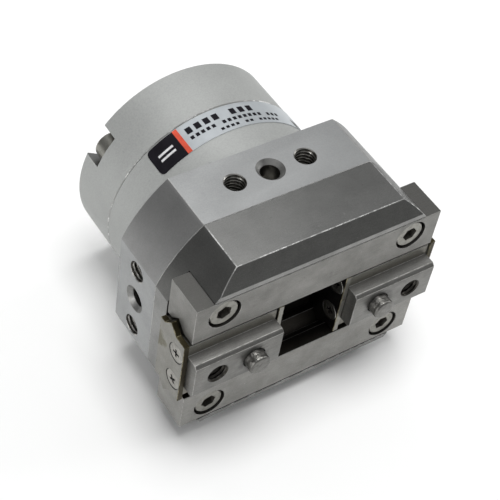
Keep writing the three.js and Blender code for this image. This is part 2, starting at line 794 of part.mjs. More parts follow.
// A round with two flats, for the end of the shaft and for the socket that takes it.
function flattedRound(radius, halfFlat, y0, y1) {
  const reach = radius + OVERCUT;
  const flats = box(-reach, reach, y0 - OVERCUT, y1 + OVERCUT, -halfFlat, halfFlat);
  return rod(radius, y0, y1, 0, 0, ROUND_FACETS).intersect(flats);
}

function camDisc() {
  const disc = rod(CAM_RADIUS, CAM_FRONT, CAM_REAR, 0, 0, ROUND_FACETS);
  const socket = flattedRound(
    SHAFT_RADIUS + FIT_GAP,
    SHAFT_FLAT + FIT_GAP,
    CAM_REAR - CAM_SOCKET_DEPTH,
    CAM_REAR + OVERCUT,
  );
  const screwHole = rod(CLEARANCE_RADIUS, CAM_FRONT - OVERCUT, CAM_REAR, 0, 0, SMALL_FACETS);
  return cut(disc, socket, screwHole, camSlot(0), camSlot(Math.PI));
}

function vaneShaft() {
  const tongueFront = CAM_REAR - CAM_SOCKET_DEPTH + FIT_GAP;
  const tongueRear = CAM_REAR + JOINT_GAP;
  const vaneFront = CHAMBER_FRONT + VANE_END_GAP;
  const vaneRear = SPIGOT_FRONT - VANE_END_GAP;
  const tongue = flattedRound(SHAFT_RADIUS, SHAFT_FLAT, tongueFront, tongueRear + OVERCUT);
  const shaft = rod(SHAFT_RADIUS, tongueRear, SHAFT_REAR, 0, 0, ROUND_FACETS);
  const hub = rod(HUB_RADIUS, vaneFront, vaneRear, 0, 0, ROUND_FACETS);
  const vanes = box(
    -VANE_RADIUS,
    VANE_RADIUS,
    vaneFront,
    vaneRear,
    -VANE_HALF_THICKNESS,
    VANE_HALF_THICKNESS,
  ).rotate([0, -THREE.MathUtils.radToDeg(VANE_ANGLE), 0]);
  const thread = rod(THREAD_CORE_RADIUS, 0, CAM_SCREW_TIP + OVERCUT, 0, 0, SMALL_FACETS);
  return cut(joined(tongue, shaft, hub, vanes), thread);
}

function vaneSeal(angle) {
  const halfTip = VANE_SEAL_HALF / VANE_SEAL_RADIUS;
  const tip = arc(VANE_SEAL_RADIUS, -halfTip, halfTip, SEAL_TIP_STEPS);
  const foot = VANE_RADIUS + FIT_GAP;
  const outline = [[foot, -VANE_SEAL_HALF], ...tip, [foot, VANE_SEAL_HALF]];
  const strip = prismAlongY(outline, CHAMBER_FRONT + VANE_END_GAP, SPIGOT_FRONT - VANE_END_GAP);
  return strip.rotate([0, -THREE.MathUtils.radToDeg(angle), 0]);
}

function stopBlock(angle) {
  const low = angle - STOP_HALF_ANGLE;
  const high = angle + STOP_HALF_ANGLE;
  const outline = [...arc(STOP_OUTER_RADIUS, low, high), ...arc(STOP_INNER_RADIUS, high, low)];
  return prismAlongY(outline, CHAMBER_FRONT + FIT_GAP, SPIGOT_FRONT - FIT_GAP);
}

// A shielded ball bearing as one ring with a shallow recess on each face.
function bearing(front) {
  const shieldInner = BEARING_BORE + SHIELD_MARGIN;
  const shieldOuter = BEARING_OUTER - SHIELD_MARGIN;
  const rear = front + BEARING_WIDTH;
  return cut(
    ring(BEARING_BORE, BEARING_OUTER, front, rear),
    ring(shieldInner, shieldOuter, front - OVERCUT, front + SHIELD_RECESS),
    ring(shieldInner, shieldOuter, rear - SHIELD_RECESS, rear + OVERCUT),
  );
}

function shaftSeal(front) {
  return ring(SEAL_BORE, BEARING_OUTER, front, front + SEAL_WIDTH);
}

function capORing() {
  const geometry = new THREE.TorusGeometry(
    O_RING_RADIUS,
    O_RING_THICKNESS,
    O_RING_SECTION_FACETS,
    O_RING_FACETS,
  );
  return solid(geometry.rotateX(Math.PI / 2).translate(0, O_RING_CENTRE, 0));
}

// ---- assembly ----------------------------------------------------------------------------------

function addBody() {
  addPart("housing", housing(), anodised);
  addPart("guide_base", guideBase(), machined);
  addPart("rear_cap", rearCap(), anodised);
  addPart("upper_guide", guideBar(1), steel);
  addPart("lower_guide", guideBar(-1), steel);
  guideScrewPlaces().forEach(([x, z], i) => {
    const screw = socketScrew(x, z, GUIDE_SCREW_SINK, 1, GUIDE_SCREW_TIP);
    addPart("guide_screw_" + (i + 1), screw, plated);
  });
  capScrewPlaces().forEach(([x, z], i) => {
    const headFace = NOTCH_FLOOR + JOINT_GAP + SCREW_HEAD_HEIGHT;
    addPart("cap_screw_" + (i + 1), socketScrew(x, z, headFace, -1, CAP_SCREW_TIP), plated);
  });
  addPart("name_label", nameLabel(), foil);
}

function addJaw(name, place) {
  addPart(name + "_finger", place(finger()), steel);
  plateFaces().forEach((face) => {
    addPart(name + "_" + face.key + "_plate", place(endPlate(face)), plated);
  });
  plateScrewPlaces().forEach((spot) => {
    const level = spot.side > 0 ? "a" : "b";
    addPart(name + "_" + spot.key + "_plate_screw_" + level, place(plateScrew(spot)), darkSteel);
  });
  addPart(name + "_dowel_pin", place(dowelPin()), plated);
  addPart(name + "_drive_pin", place(drivePin()), darkSteel);
  addPart(name + "_drive_roller", place(driveRoller()), plated);
}

function addCages() {
  addPart("right_upper_roller_cage", rollerCage(1), brass);
  addPart("right_lower_roller_cage", rollerCage(-1), brass);
  addPart("left_upper_roller_cage", turnedHalf(rollerCage(-1)), brass);
  addPart("left_lower_roller_cage", turnedHalf(rollerCage(1)), brass);
}

function addRotor() {
  addPart("vane_shaft", vaneShaft(), darkSteel);
  addPart("vane_seal_1", vaneSeal(VANE_ANGLE), rubber);
  addPart("vane_seal_2", vaneSeal(VANE_ANGLE + Math.PI), rubber);
  addPart("cam_disc", camDisc(), darkSteel);
  const camHeadFace = CAM_FRONT - FIT_GAP - SCREW_HEAD_HEIGHT;
  addPart("cam_screw", socketScrew(0, 0, camHeadFace, 1, CAM_SCREW_TIP), plated);
}

function addChamberParts() {
  addPart("stop_block_1", stopBlock(STOP_ANGLE), anodised);
  addPart("stop_block_2", stopBlock(STOP_ANGLE + Math.PI), anodised);
  addPart("front_bearing", bearing(FRONT_BEARING_FRONT), plated);
  addPart("rear_bearing", bearing(REAR_BEARING_FRONT), plated);
  addPart("front_shaft_seal", shaftSeal(FRONT_SEAL_FRONT), rubber);
  addPart("rear_shaft_seal", shaftSeal(REAR_SEAL_FRONT), rubber);
  addPart("cap_o_ring", capORing(), rubber);
}

addBody();
addJaw("right", (body) => body);
addJaw("left", turnedHalf);
addCages();
addRotor();
addChamberParts();

group.position.set(0, -(BODY_REAR + DOWEL_TIP) / 2, TOP_FLAT);

export default group;
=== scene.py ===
"""Looks of the two-finger parallel air gripper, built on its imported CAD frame.

Pieces are modelled in millimetres in the same working axes as the CAD source: x along the finger
travel, y back from the front plane of the guide bars, z up from the body axis. finish_piece() then
puts each one in the row frame, in metres.
"""
from math import acos, asin, cos, degrees, hypot, pi, radians, sin, sqrt

import bmesh
import bpy
from mathutils import Matrix, Vector


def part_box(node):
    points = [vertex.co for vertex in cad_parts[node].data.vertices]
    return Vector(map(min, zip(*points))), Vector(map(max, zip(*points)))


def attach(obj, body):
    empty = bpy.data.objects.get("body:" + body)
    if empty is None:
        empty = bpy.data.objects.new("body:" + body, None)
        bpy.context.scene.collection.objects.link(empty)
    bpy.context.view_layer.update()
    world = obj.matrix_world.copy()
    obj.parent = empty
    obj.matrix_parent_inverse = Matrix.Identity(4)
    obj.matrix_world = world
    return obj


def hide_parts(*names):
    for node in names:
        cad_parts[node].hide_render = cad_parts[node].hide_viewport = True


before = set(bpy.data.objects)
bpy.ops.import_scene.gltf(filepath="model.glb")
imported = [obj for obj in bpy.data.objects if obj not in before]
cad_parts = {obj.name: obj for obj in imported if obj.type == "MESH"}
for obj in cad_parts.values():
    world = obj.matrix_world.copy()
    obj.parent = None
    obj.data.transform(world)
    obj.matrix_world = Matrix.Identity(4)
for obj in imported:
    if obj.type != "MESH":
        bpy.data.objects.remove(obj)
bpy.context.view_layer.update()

MM = 0.001

# ---- sizes, in millimetres in the working axes ----

FRONT_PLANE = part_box("upper_guide")[0].y
AXIS_HEIGHT = sum(corner.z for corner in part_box("housing")) / 2


def node_box(name):
    """A CAD node's box in working millimetres: (low, high)."""
    shift = Vector((0.0, FRONT_PLANE, AXIS_HEIGHT))
    return tuple((corner - shift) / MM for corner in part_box(name))


HOUSING_HIGH = node_box("housing")[1]
BASE_HIGH = node_box("guide_base")[1]
CAP_LOW, CAP_HIGH = node_box("rear_cap")
GUIDE_LOW, GUIDE_HIGH = node_box("upper_guide")
FINGER_LOW, FINGER_HIGH = node_box("right_finger")
PLATE_LOW, PLATE_HIGH = node_box("right_outer_plate")
DOWEL_LOW, DOWEL_HIGH = node_box("right_dowel_pin")
SCREW_LOW, SCREW_HIGH = node_box("guide_screw_4")
CAP_SCREW_LOW, CAP_SCREW_HIGH = node_box("cap_screw_1")
LABEL_LOW, LABEL_HIGH = node_box("name_label")

# body shell
SIDE_FLAT = HOUSING_HIGH.x
TOP_FLAT = HOUSING_HIGH.z
REAR_RADIUS = CAP_HIGH.x
CORNER_RADIUS = 26.17
FLAT_REAR = 22.8
STRIP_EDGE = 16.8
SLOPE_DEPTH = 1.9
CHANNEL_FLOOR = 7.75
WINDOW_HALF_LENGTH = 13.5
WINDOW_HALF_WIDTH = 2.9
CAP_CHAMFER = 0.4
CAP_LIP = 0.13  # bright chamfer on the cap's front edge

# visible gaps: guide base to housing, guide base to each guide bar, housing to cap
SEAM = 0.03
UPPER_GUIDE_SEAM = 0.1
LOWER_GUIDE_SEAM = 0.3
CAP_SEAM = 0.13

# inside of the body
CAM_ROOM_RADIUS = 15.2
CAM_ROOM_REAR = 15.0
SHAFT_ROOM_RADIUS = 4.4
BEARING_SEAT_RADIUS = 8.05
BEARING_SEAT_FRONT = 16.2
CHAMBER_RADIUS = 14.0
CHAMBER_FRONT = 21.0
SPIGOT_CLEARANCE = 0.2
O_RING_SEAT_RADIUS = 12.9
O_RING_FRONT = 32.8
O_RING_REAR = 33.8
CAP_POCKET_REAR = 37.5
CAP_SHAFT_REAR = 39.4

# holes in the flats, and the air ports
HOLE_Y = 17.3
HOLE_PITCH = 7.0
HOLE_LENGTH = 6.0
M4_CORE = 1.7
M4_MAJOR = 1.95
M4_PITCH = 0.7
M5_CORE = 2.2
M5_MAJOR = 2.45
M5_PITCH = 0.8
MOUTH_BREAK = 0.05
LOCATING_RADIUS = 1.75
LOCATING_MOUTH = 2.55
PORT_ANGLES = (radians(9), radians(-59))
PORT_Y = 27.0
PORT_FACE_RADIUS = 3.4
PORT_FACE_LEVEL = 19.4
PORT_BOTTOM = 13.45

# guide bars and socket screws
VEE_CENTRE = 4.4
VEE_DEPTH = 1.85
GUIDE_SCREW_X = (SCREW_LOW.x + SCREW_HIGH.x) / 2
GUIDE_SCREW_Z = (SCREW_LOW.z + SCREW_HIGH.z) / 2
SCREW_HEAD_RADIUS = (SCREW_HIGH.x - SCREW_LOW.x) / 2
SCREW_HEAD_HEIGHT = 3.0
SCREW_SHANK_RADIUS = 1.5
SCREW_LIP = 0.24
SHANK_TIP_CHAMFER = 0.3
SOCKET_FLATS = 2.5
SOCKET_DEPTH = 1.1
SOCKET_CONE = 0.3
SCREW_TURNS = (0.2, 0.9, 0.45, 0.1)
CLEARANCE_RADIUS = 1.65
COUNTERBORE_RADIUS = 3.02
COUNTERBORE_DEPTH = 3.5
TAP_RADIUS = 1.6
FRONT_TAP_END = 16.5
REAR_TAP_END = 27.0
CAP_SCREW_CIRCLE = 17.0
CAP_SCREW_ANGLES = (radians(150), radians(330))
NOTCH_FLOOR = 41.25
NOTCH_HALF_WIDTH = 3.2

# fingers
PAD_HALF = 4.1
PAD_CHAMFER = 0.6
BASE_HALF = FINGER_HIGH.z
BASE_FRONT = 0.4
FINGER_TAP_X = 19.85
DOWEL_X = (DOWEL_LOW.x + DOWEL_HIGH.x) / 2
DOWEL_RADIUS = (DOWEL_HIGH.x - DOWEL_LOW.x) / 2
DOWEL_ROUND = 0.4
DOWEL_FIT = 0.06
# width of the ring round the dowel's base, painted near-black as shade
DOWEL_RING = 0.18
DOWEL_SHADE_INNER = 1.9  # painted shade on the finger, round the base of the dowel
DOWEL_SHADE_OUTER = 3.3
DOWEL_SHADE_WANDER = 0.9
DRIVE_PIN_X = 11.0
DRIVE_HOLE_RADIUS = 1.55
DRIVE_HOLE_START = 4.2

# end plates and their cross-recess screws
PLATE_FRONT = PLATE_LOW.y
PLATE_REAR = PLATE_HIGH.y
PLATE_THICKNESS = PLATE_HIGH.x - PLATE_LOW.x
PLATE_HALF = 7.2
PLATE_EAR = PLATE_HIGH.z
EAR_FOOT = 1.75
EAR_TOP = 0.3
PLATE_SCREW_Y = 2.2
PLATE_SCREW_Z = 3.5
PLATE_HOLE_DEPTH = 3.2
CROSS_HEAD_RADIUS = 1.85
CROSS_SHANK_RADIUS = 1.0
CROSS_LENGTH = 3.9
CROSS_RIM = 0.1
CROSS_FIT = 0.11
CROSS_HOLE_RADIUS = CROSS_SHANK_RADIUS + CROSS_FIT
CROSS_SINK = 0.05
CROSS_ARM = (1.2, 0.27, 0.4, 0.14, 0.7)  # half length and width at the face, then at the foot, and depth
CROSS_TURNS = (0.1, 0.6)

# name label: low and high are shares of its depth
LABEL_START = radians(27)
LABEL_END = radians(133)
LABEL_RED_START = radians(114)
LABEL_RED_END = radians(116.5)
LABEL_GAP = 0.01
LABEL_THICKNESS = 0.09
LABEL_ROUND = 0.9
PRINT_GAP = 0.004
PRINT_LEVEL = LABEL_GAP + LABEL_THICKNESS + PRINT_GAP
PRINT_THICKNESS = 0.012
PATCH_STEPS_PER_DEGREE = 1.6
BLOCK_FILL = 0.62
# rows of blocks: (low, high, start angle, pitch, blocks in each group)
LABEL_ROWS = (
    (0.58, 0.82, radians(111), radians(5.0), (4, 3)),
    (0.34, 0.47, radians(111), radians(3.0), (5, 8, 3)),
    (0.12, 0.22, radians(96), radians(2.8), (4, 2, 5)),
)
LABEL_END_BLOCK = (radians(41), radians(47), 0.05, 0.4)
EMBLEM_SPAN = (radians(120), radians(129))
EMBLEM_BARS = ((0.36, 0.44), (0.54, 0.62))

# mesh detail
CORNERS = ((-1, -1), (1, -1), (1, 1), (-1, 1))
SHARP_ANGLE = radians(24)
WEAR_ANGLE = radians(30)
ALONG_AXIS = 0.9  # least cosine of an edge that runs along an axis
OVERCUT = 1.0
EDGE = 0.1  # width of a worn edge
FINE_EDGE = 0.08
ROUND = 144
SCREW_ROUND = 64
COUNTERBORE_ROUND = 56
SEAT_ROUND = 48
HOLE_ROUND = 40
DRIVE_ROUND = 32
BORE_ROUND = 24
HEX_SIDES = 6
CORNER_STEPS = 20
WINDOW_STEPS = 16
DOWEL_STEPS = 6
THREAD_FACETS = 30
THREAD_ROWS = 8

# fine grain of milled and ground faces: noise per mm, and its darkest tone
GRAIN_SCALE = 6.0
GRAIN_TONE = 0.84
WHITE = (1.0, 1.0, 1.0)

# the range that noise mostly covers
NOISE_LOW = 0.3
NOISE_HIGH = 0.7

# oil stains and painted shade on steel: how strong they are, the noise level a stain starts at, its fade,
# and the tone of the painted shade round a dowel
OIL_AND_SHADE_STRENGTH = 0.85
STAIN_FROM = 0.56
STAIN_FADE = 0.1
DOWEL_SHADE_TONE = 0.28

# sockets of the mix node for colours: factor, first and second, and the result
MIX_INPUTS = (0, 6, 7)
MIX_RESULT = 2

# the thread tool's material slots, and where up the flank its groove of painted shade starts
FLANK_SLOT, END_SLOT, ROOT_SHADE_SLOT = range(3)
ROOT_SHARE = 0.45

# studio, in metres; room brightness runs from the horizon (0) to overhead (1)
FLOOR_HALF = 3.0
CAMERA_AZIMUTH = radians(-40.87)
CAMERA_ELEVATION = radians(48.03)
CAMERA_ROLL = radians(10.82)
CAMERA_DISTANCE = 0.2347
CAMERA_TARGET = Vector((0.0, -0.0019, 0.0192))
CAMERA_LENS = 95.4
CAMERA_SENSOR = 36.0
CAMERA_NEAR = 0.01
ROOM_BRIGHTNESS = ((0.0, 0.12), (0.35, 0.2), (0.7, 0.36), (1.0, 0.5))
ROOM_TINT = (0.98, 0.99, 1.0)
FLOOR_TONES = ((0.3, (0.87, 0.87, 0.865)), (0.7, (0.89, 0.89, 0.885)))

# soft boxes: name, place, width and height, and power in watts
SOFTBOXES = (
    ("overhead_softbox", (0.0, -0.02, 0.93), (0.48, 0.48), 5.9),
    ("right_softbox", (0.8, -0.05, 0.4), (0.6, 0.5), 2.5),
    ("rear_softbox", (0.2, 0.85, 0.4), (0.6, 0.4), 2.0),
    ("left_softbox", (-0.85, -0.1, 0.16), (0.5, 0.28), 2.6),
)

# ---- materials ----


def shade(colour, factor):
    return tuple(channel * factor for channel in colour)


def colour_ramp(tree, value, stops):
    """Colours a value by (position, colour) stops."""
    ramp = tree.nodes.new("ShaderNodeValToRGB")
    elements = ramp.color_ramp.elements
    while len(elements) < len(stops):
        elements.new(0.5)
    for element, (position, colour) in zip(elements, stops):
        element.position = position
        element.color = (*colour, 1.0)
    tree.links.new(value, ramp.inputs["Fac"])
    return ramp.outputs["Color"]


class Nodes:
    """Short forms for building one material's node tree."""

    def __init__(self, name, metallic=0.0):
        self.material = bpy.data.materials.new(name)
        self.material.use_nodes = True
        self.tree = self.material.node_tree
        self.shader = self.tree.nodes["Principled BSDF"]
        self.shader.inputs["Metallic"].default_value = metallic
        self.position = self.node("TexCoord").outputs["Object"]

    def link(self, source, target):
        self.tree.links.new(source, target)

    def node(self, kind, operation=None):
        node = self.tree.nodes.new("ShaderNode" + kind)
        if operation:
            node.operation = operation
        return node

    def stretched(self, scale):
        """Object coordinates in millimetres times a scale for each axis."""
        mapping = self.node("Mapping")
        mapping.inputs["Scale"].default_value = [s / MM for s in scale]
        self.link(self.position, mapping.inputs["Vector"])
        return mapping.outputs["Vector"]

    def noise(self, scale, detail=4.0, roughness=0.55):
        """scale: noise per millimetre, one number or one for each axis."""
        texture = self.node("TexNoise")
        texture.inputs["Scale"].default_value = 1.0
        texture.inputs["Detail"].default_value = detail
        texture.inputs["Roughness"].default_value = roughness
        if isinstance(scale, float):
            scale = (scale, scale, scale)
        self.link(self.stretched(scale), texture.inputs["Vector"])
        return texture.outputs["Fac"]

    def tones(self, value, colour, *stops):
        """Shades of one colour by (position, factor) stops."""
        return colour_ramp(self.tree, value, [(at, shade(colour, factor)) for at, factor in stops])

    def levels(self, value, low, high, out_low, out_high):
        node = self.node("MapRange")
        sockets = ("From Min", "From Max", "To Min", "To Max")
        for socket, number in zip(sockets, (low, high, out_low, out_high)):
            node.inputs[socket].default_value = number
        self.link(value, node.inputs["Value"])
        return node.outputs["Result"]

    def spread(self, noise, out_low, out_high):
        """Stretches noise over a range of values."""
        return self.levels(noise, NOISE_LOW, NOISE_HIGH, out_low, out_high)

    def mix(self, factor, first, second, mode="MIX"):
        """Factor, first and second may each be a socket, or a plain number or colour."""
        node = self.node("Mix")
        node.data_type = "RGBA"
        node.blend_type = mode
        for index, value in zip(MIX_INPUTS, (factor, first, second)):
            socket = node.inputs[index]
            if isinstance(value, tuple):
                socket.default_value = (*value, 1.0)
            elif isinstance(value, float):
                socket.default_value = value
            else:
                self.link(value, socket)
        return node.outputs[MIX_RESULT]

    def dowel_distance(self):
        """Distance in millimetres from the axis of either finger's dowel."""
        folded = self.node("VectorMath", "ABSOLUTE")
        self.link(self.stretched((1.0, 0.0, 1.0)), folded.inputs[0])
        distance = self.node("VectorMath", "DISTANCE")
        distance.inputs[1].default_value = (DOWEL_X, 0.0, AXIS_HEIGHT / MM)
        self.link(folded.outputs["Vector"], distance.inputs[0])
        return distance.outputs["Value"]

    def bump(self, layers):
        """layers: (height, strength, distance in millimetres), stacked in order."""
        normal = None
        for height, strength, distance in layers:
            node = self.node("Bump")
            node.inputs["Strength"].default_value = strength
            node.inputs["Distance"].default_value = distance * MM
            self.link(height, node.inputs["Height"])
            if normal is not None:
                self.link(normal, node.inputs["Normal"])
            normal = node.outputs["Normal"]
        self.link(normal, self.shader.inputs["Normal"])

    def finish(self, colour, roughness, layers):
        """Links the colour, the roughness and the bump layers, and returns the material."""
        self.link(colour, self.shader.inputs["Base Color"])
        self.link(roughness, self.shader.inputs["Roughness"])
        self.bump(layers)
        return self.material


def blasted_metal(name, colour, roughness, metallic):
    """Bead-blasted, anodised aluminium: fine sparkle, faint blotches and a few dark nicks."""
    n = Nodes(name, metallic)
    blotch = n.noise(0.1, 3.0)
    grain = n.noise(3.2, 2.0)
    nick = n.levels(n.noise((0.5, 0.22, 0.5), 5.0, 0.7), 0.7, 0.74, 0.0, 0.6)
    base = n.tones(blotch, colour, (0.3, 0.94), (0.7, 1.04))
    sparkle = n.tones(grain, WHITE, (0.3, 0.86), (0.65, 1.0))
    toned = n.mix(1.0, base, sparkle, "MULTIPLY")
    nicked = n.mix(nick, toned, shade(colour, 0.45))
    rough = n.spread(grain, roughness - 0.05, roughness + 0.06)
    return n.finish(nicked, rough, [(grain, 0.35, 0.015), (nick, 0.3, -0.02)])


def satin_metal(name, colour, roughness, metallic=1.0):
    """Machined, anodised aluminium: soft smears and light scratches on a smooth skin."""
    n = Nodes(name, metallic)
    smear = n.noise(0.12, 4.0, 0.6)
    grain = n.noise(4.0, 2.0)
    scratch = n.levels(n.noise((0.3, 2.6, 0.3), 6.0, 0.75), 0.69, 0.73, 0.0, 0.7)
    base = n.tones(smear, colour, (0.3, 0.88), (0.7, 1.08))
    speckle = n.tones(grain, WHITE, (0.3, 0.9), (0.65, 1.0))
    toned = n.mix(1.0, base, speckle, "MULTIPLY")
    scratched = n.mix(scratch, toned, shade(colour, 1.4))
    rough = n.spread(smear, roughness + 0.08, roughness - 0.04)
    return n.finish(scratched, rough, [(grain, 0.25, 0.01), (scratch, 0.2, -0.01)])


def brushed_metal(name, colour, roughness, along, metallic=1.0, line_tone=0.9, stain=None, dowel_shade=False):
    """Ground or milled metal: fine lines along one axis, clouds of tone, and light and dark specks.

    line_tone is the darkest tone of the lines. The metal can have an oily stain, or painted shade
    round the base of each finger's dowel.
    """
    n = Nodes(name, metallic)
    fine_scale = [5.0, 5.0, 5.0]
    fine_scale[along] = 0.5
    fine = n.noise(fine_scale, 3.0, 0.6)
    cloud = n.noise(0.2, 5.0, 0.65)
    speck = n.noise(1.6, 4.0, 0.7)
    base = n.tones(cloud, colour, (0.3, 0.86), (0.7, 1.12))
    lines = n.tones(fine, WHITE, (0.3, line_tone), (0.7, 1.0))
    toned = n.mix(1.0, base, lines, "MULTIPLY")
    grain = n.tones(n.noise(GRAIN_SCALE, 2.0), WHITE, (0.35, GRAIN_TONE), (0.65, 1.0))
    toned = n.mix(1.0, toned, grain, "MULTIPLY")
    toned = n.mix(n.levels(speck, 0.66, 0.74, 0.0, 0.6), toned, shade(colour, 1.5))
    toned = n.mix(n.levels(speck, 0.34, 0.27, 0.0, 0.6), toned, shade(colour, 0.45))
    if stain:
        darkening = n.levels(cloud, STAIN_FROM, STAIN_FROM + STAIN_FADE, 0.0, OIL_AND_SHADE_STRENGTH)
        toned = n.mix(darkening, toned, stain)
    # painted shade round the base of each finger's dowel
    if dowel_shade:
        reach = n.node("Math", "ADD")
        n.link(n.dowel_distance(), reach.inputs[0])
        n.link(n.spread(cloud, -DOWEL_SHADE_WANDER, DOWEL_SHADE_WANDER), reach.inputs[1])
        darkening = n.levels(reach.outputs["Value"], DOWEL_SHADE_INNER, DOWEL_SHADE_OUTER, OIL_AND_SHADE_STRENGTH, 0.0)
        toned = n.mix(darkening, toned, shade(colour, DOWEL_SHADE_TONE))
    rough = n.spread(cloud, roughness + 0.08, roughness - 0.05)
    return n.finish(toned, rough, [(fine, 0.25, 0.01), (speck, 0.15, 0.02)])


def turned_metal(name, colour, roughness, metallic=1.0, pitting=0.0):
    """Turned or plated metal: soft grain with darker handling marks, and optional pitting."""
    n = Nodes(name, metallic)
    grain = n.noise(6.0, 3.0)
    marks = n.noise(0.9, 5.0, 0.65)
    toned = n.tones(marks, colour, (0.3, 0.7), (0.5, 1.0), (0.75, 1.15))
    rough = n.spread(marks, roughness + 0.1, roughness - 0.05)
    layers = [(grain, 0.2, 0.01)]
    if pitting:
        layers.append((n.noise(1.3, 4.0, 0.6), 0.9, pitting))
    return n.finish(toned, rough, layers)


def worn_edge(name, bright, coating, bare_from=0.45):
    """A rubbed edge: bright bare metal broken up by patches where the coating is left."""
    n = Nodes(name, metallic=0.8)
    patches = n.noise(0.7, 5.0, 0.7)
    grain = n.noise(8.0, 2.0)
    bared = colour_ramp(n.tree, patches, ((bare_from - 0.06, coating), (bare_from + 0.06, bright)))
    return n.finish(bared, n.spread(patches, 0.6, 0.4), [(grain, 0.3, 0.01)])


def dull(name, colour, roughness, metallic=0.0, gloss=0.5):
    """Rubber, print and recesses painted near-black as shade: near-matt with fine grain and dust."""
    n = Nodes(name, metallic)
    n.shader.inputs["Specular IOR Level"].default_value = gloss
    fine = n.noise(6.0, 3.0)
    dust = n.noise(0.5, 5.0, 0.7)
    dusty = n.tones(dust, colour, (0.35, 0.75), (0.75, 1.25))
    return n.finish(dusty, n.spread(dust, roughness - 0.08, roughness + 0.08), [(fine, 0.3, 0.01)])


def foil(name, colour):
    """Printed aluminium foil: satin with faint rolling lines round the body."""
    n = Nodes(name, metallic=0.4)
    rolling = n.noise((0.4, 8.0, 0.4), 3.0)
    smudge = n.noise(0.35, 4.0, 0.6)
    toned = n.tones(smudge, colour, (0.35, 0.93), (0.7, 1.03))
    return n.finish(toned, n.spread(smudge, 0.36, 0.48), [(rolling, 0.12, 0.005)])


BLASTED = blasted_metal("anodised_blasted", (0.398, 0.406, 0.396), 0.62, metallic=0.6)
FLAT = satin_metal("anodised_flat", (0.34, 0.346, 0.346), 0.5, metallic=0.7)
SATIN = satin_metal("anodised_satin", (0.275, 0.275, 0.272), 0.42)
SATIN_EDGE = worn_edge("anodised_worn_edge", (0.42, 0.42, 0.41), (0.3, 0.3, 0.295))
CUT_LIP = worn_edge("fresh_cut_lip", (0.8, 0.8, 0.79), (0.38, 0.38, 0.372), bare_from=0.56)
MILLED = brushed_metal("milled_grey", (0.27, 0.27, 0.262), 0.36, along=0)
# darker copy of the milled metal: painted shade on the guide base's round corners and front slopes
SHADED_MILLED = brushed_metal("milled_painted_shade", (0.14, 0.14, 0.135), 0.36, along=0)
MILLED_EDGE = worn_edge("milled_worn_edge", (0.6, 0.6, 0.59), (0.24, 0.24, 0.235), bare_from=0.54)
GROUND = brushed_metal("ground_steel", (0.25, 0.246, 0.232), 0.45, along=0, metallic=0.85)
# lighter copy of the ground steel: painted light on the lower guide bar's front
LIT_GROUND = brushed_metal("ground_steel_painted_light", (0.305, 0.3, 0.283), 0.45, along=0, metallic=0.85)
GROUND_EDGE = worn_edge("ground_worn_edge", (0.36, 0.355, 0.34), (0.22, 0.216, 0.203))
GUIDE_TOP = brushed_metal("guide_side_steel", (0.15, 0.148, 0.14), 0.42, along=0)
OILY_STEEL = brushed_metal("oily_steel", (0.07, 0.064, 0.056), 0.36, along=0)
# the finger steel carries painted shade round the base of each dowel
FINGER_STEEL = brushed_metal(
    "finger_steel", (0.232, 0.229, 0.217), 0.42, along=0, metallic=0.9, line_tone=0.74, dowel_shade=True
)
FINGER_BASE = brushed_metal("finger_base_steel", (0.215, 0.207, 0.18), 0.45, along=0, metallic=0.7)
PLATE = brushed_metal("plate_steel", (0.28, 0.274, 0.25), 0.42, along=2, stain=(0.1, 0.09, 0.05))
PLATE_EDGE = worn_edge("plate_oily_edge", (0.28, 0.25, 0.16), (0.06, 0.052, 0.025), bare_from=0.52)
PLATE_RIM = brushed_metal("plate_oily_rim", (0.056, 0.047, 0.027), 0.42, along=2)
OILY_PLATE = brushed_metal("plate_oily", (0.06, 0.055, 0.055), 0.35, along=2)
SCREW = turned_metal("plated_screw", (0.27, 0.265, 0.24), 0.36)
SCREW_RIM = turned_metal("screw_rim", (0.42, 0.41, 0.38), 0.33)
SOCKET = turned_metal("screw_socket", (0.17, 0.163, 0.145), 0.5)
CROSS_STEEL = turned_metal("cross_screw_steel", (0.3, 0.29, 0.265), 0.36)
PIN = turned_metal("dowel_steel", (0.16, 0.157, 0.147), 0.32, pitting=0.16)
THREAD = turned_metal("cut_thread", (0.4, 0.392, 0.37), 0.3)
# dark thread roots: painted shade in the grooves of tapped holes
THREAD_ROOT_SHADE = turned_metal("thread_groove_painted_shade", (0.06, 0.057, 0.05), 0.4)
OILY_THREAD = turned_metal("oily_thread", (0.07, 0.066, 0.06), 0.32)
BORE = turned_metal("bored_metal", (0.22, 0.215, 0.2), 0.35)
CHAMFER = turned_metal("cut_chamfer", (0.23, 0.23, 0.222), 0.45)
# near-black painted shade in the channel, the window, counterbores, countersinks, cross recesses and the
# ring round each dowel
RECESS_SHADE = dull("recess_painted_shade", (0.018, 0.016, 0.014), 0.5, metallic=0.4)
HARDENED = turned_metal("hardened_steel", (0.16, 0.155, 0.145), 0.35)
BRASS = turned_metal("cage_brass", (0.5, 0.38, 0.16), 0.35)
RUBBER = dull("seal_rubber", (0.02, 0.02, 0.02), 0.62)
FOIL = foil("label_foil", (0.44, 0.467, 0.485))
PRINT_DARK = dull("label_dark_print", (0.01, 0.009, 0.012), 0.5, gloss=0.06)
PRINT_RED = dull("label_red_print", (0.56, 0.075, 0.04), 0.5, gloss=0.2)
PRINT_GREY = dull("label_grey_print", (0.09, 0.095, 0.095), 0.5, gloss=0.2)
PRINT_LIGHT = dull("label_light_print", (0.6, 0.6, 0.61), 0.5, gloss=0.2)

# ---- mesh building ----


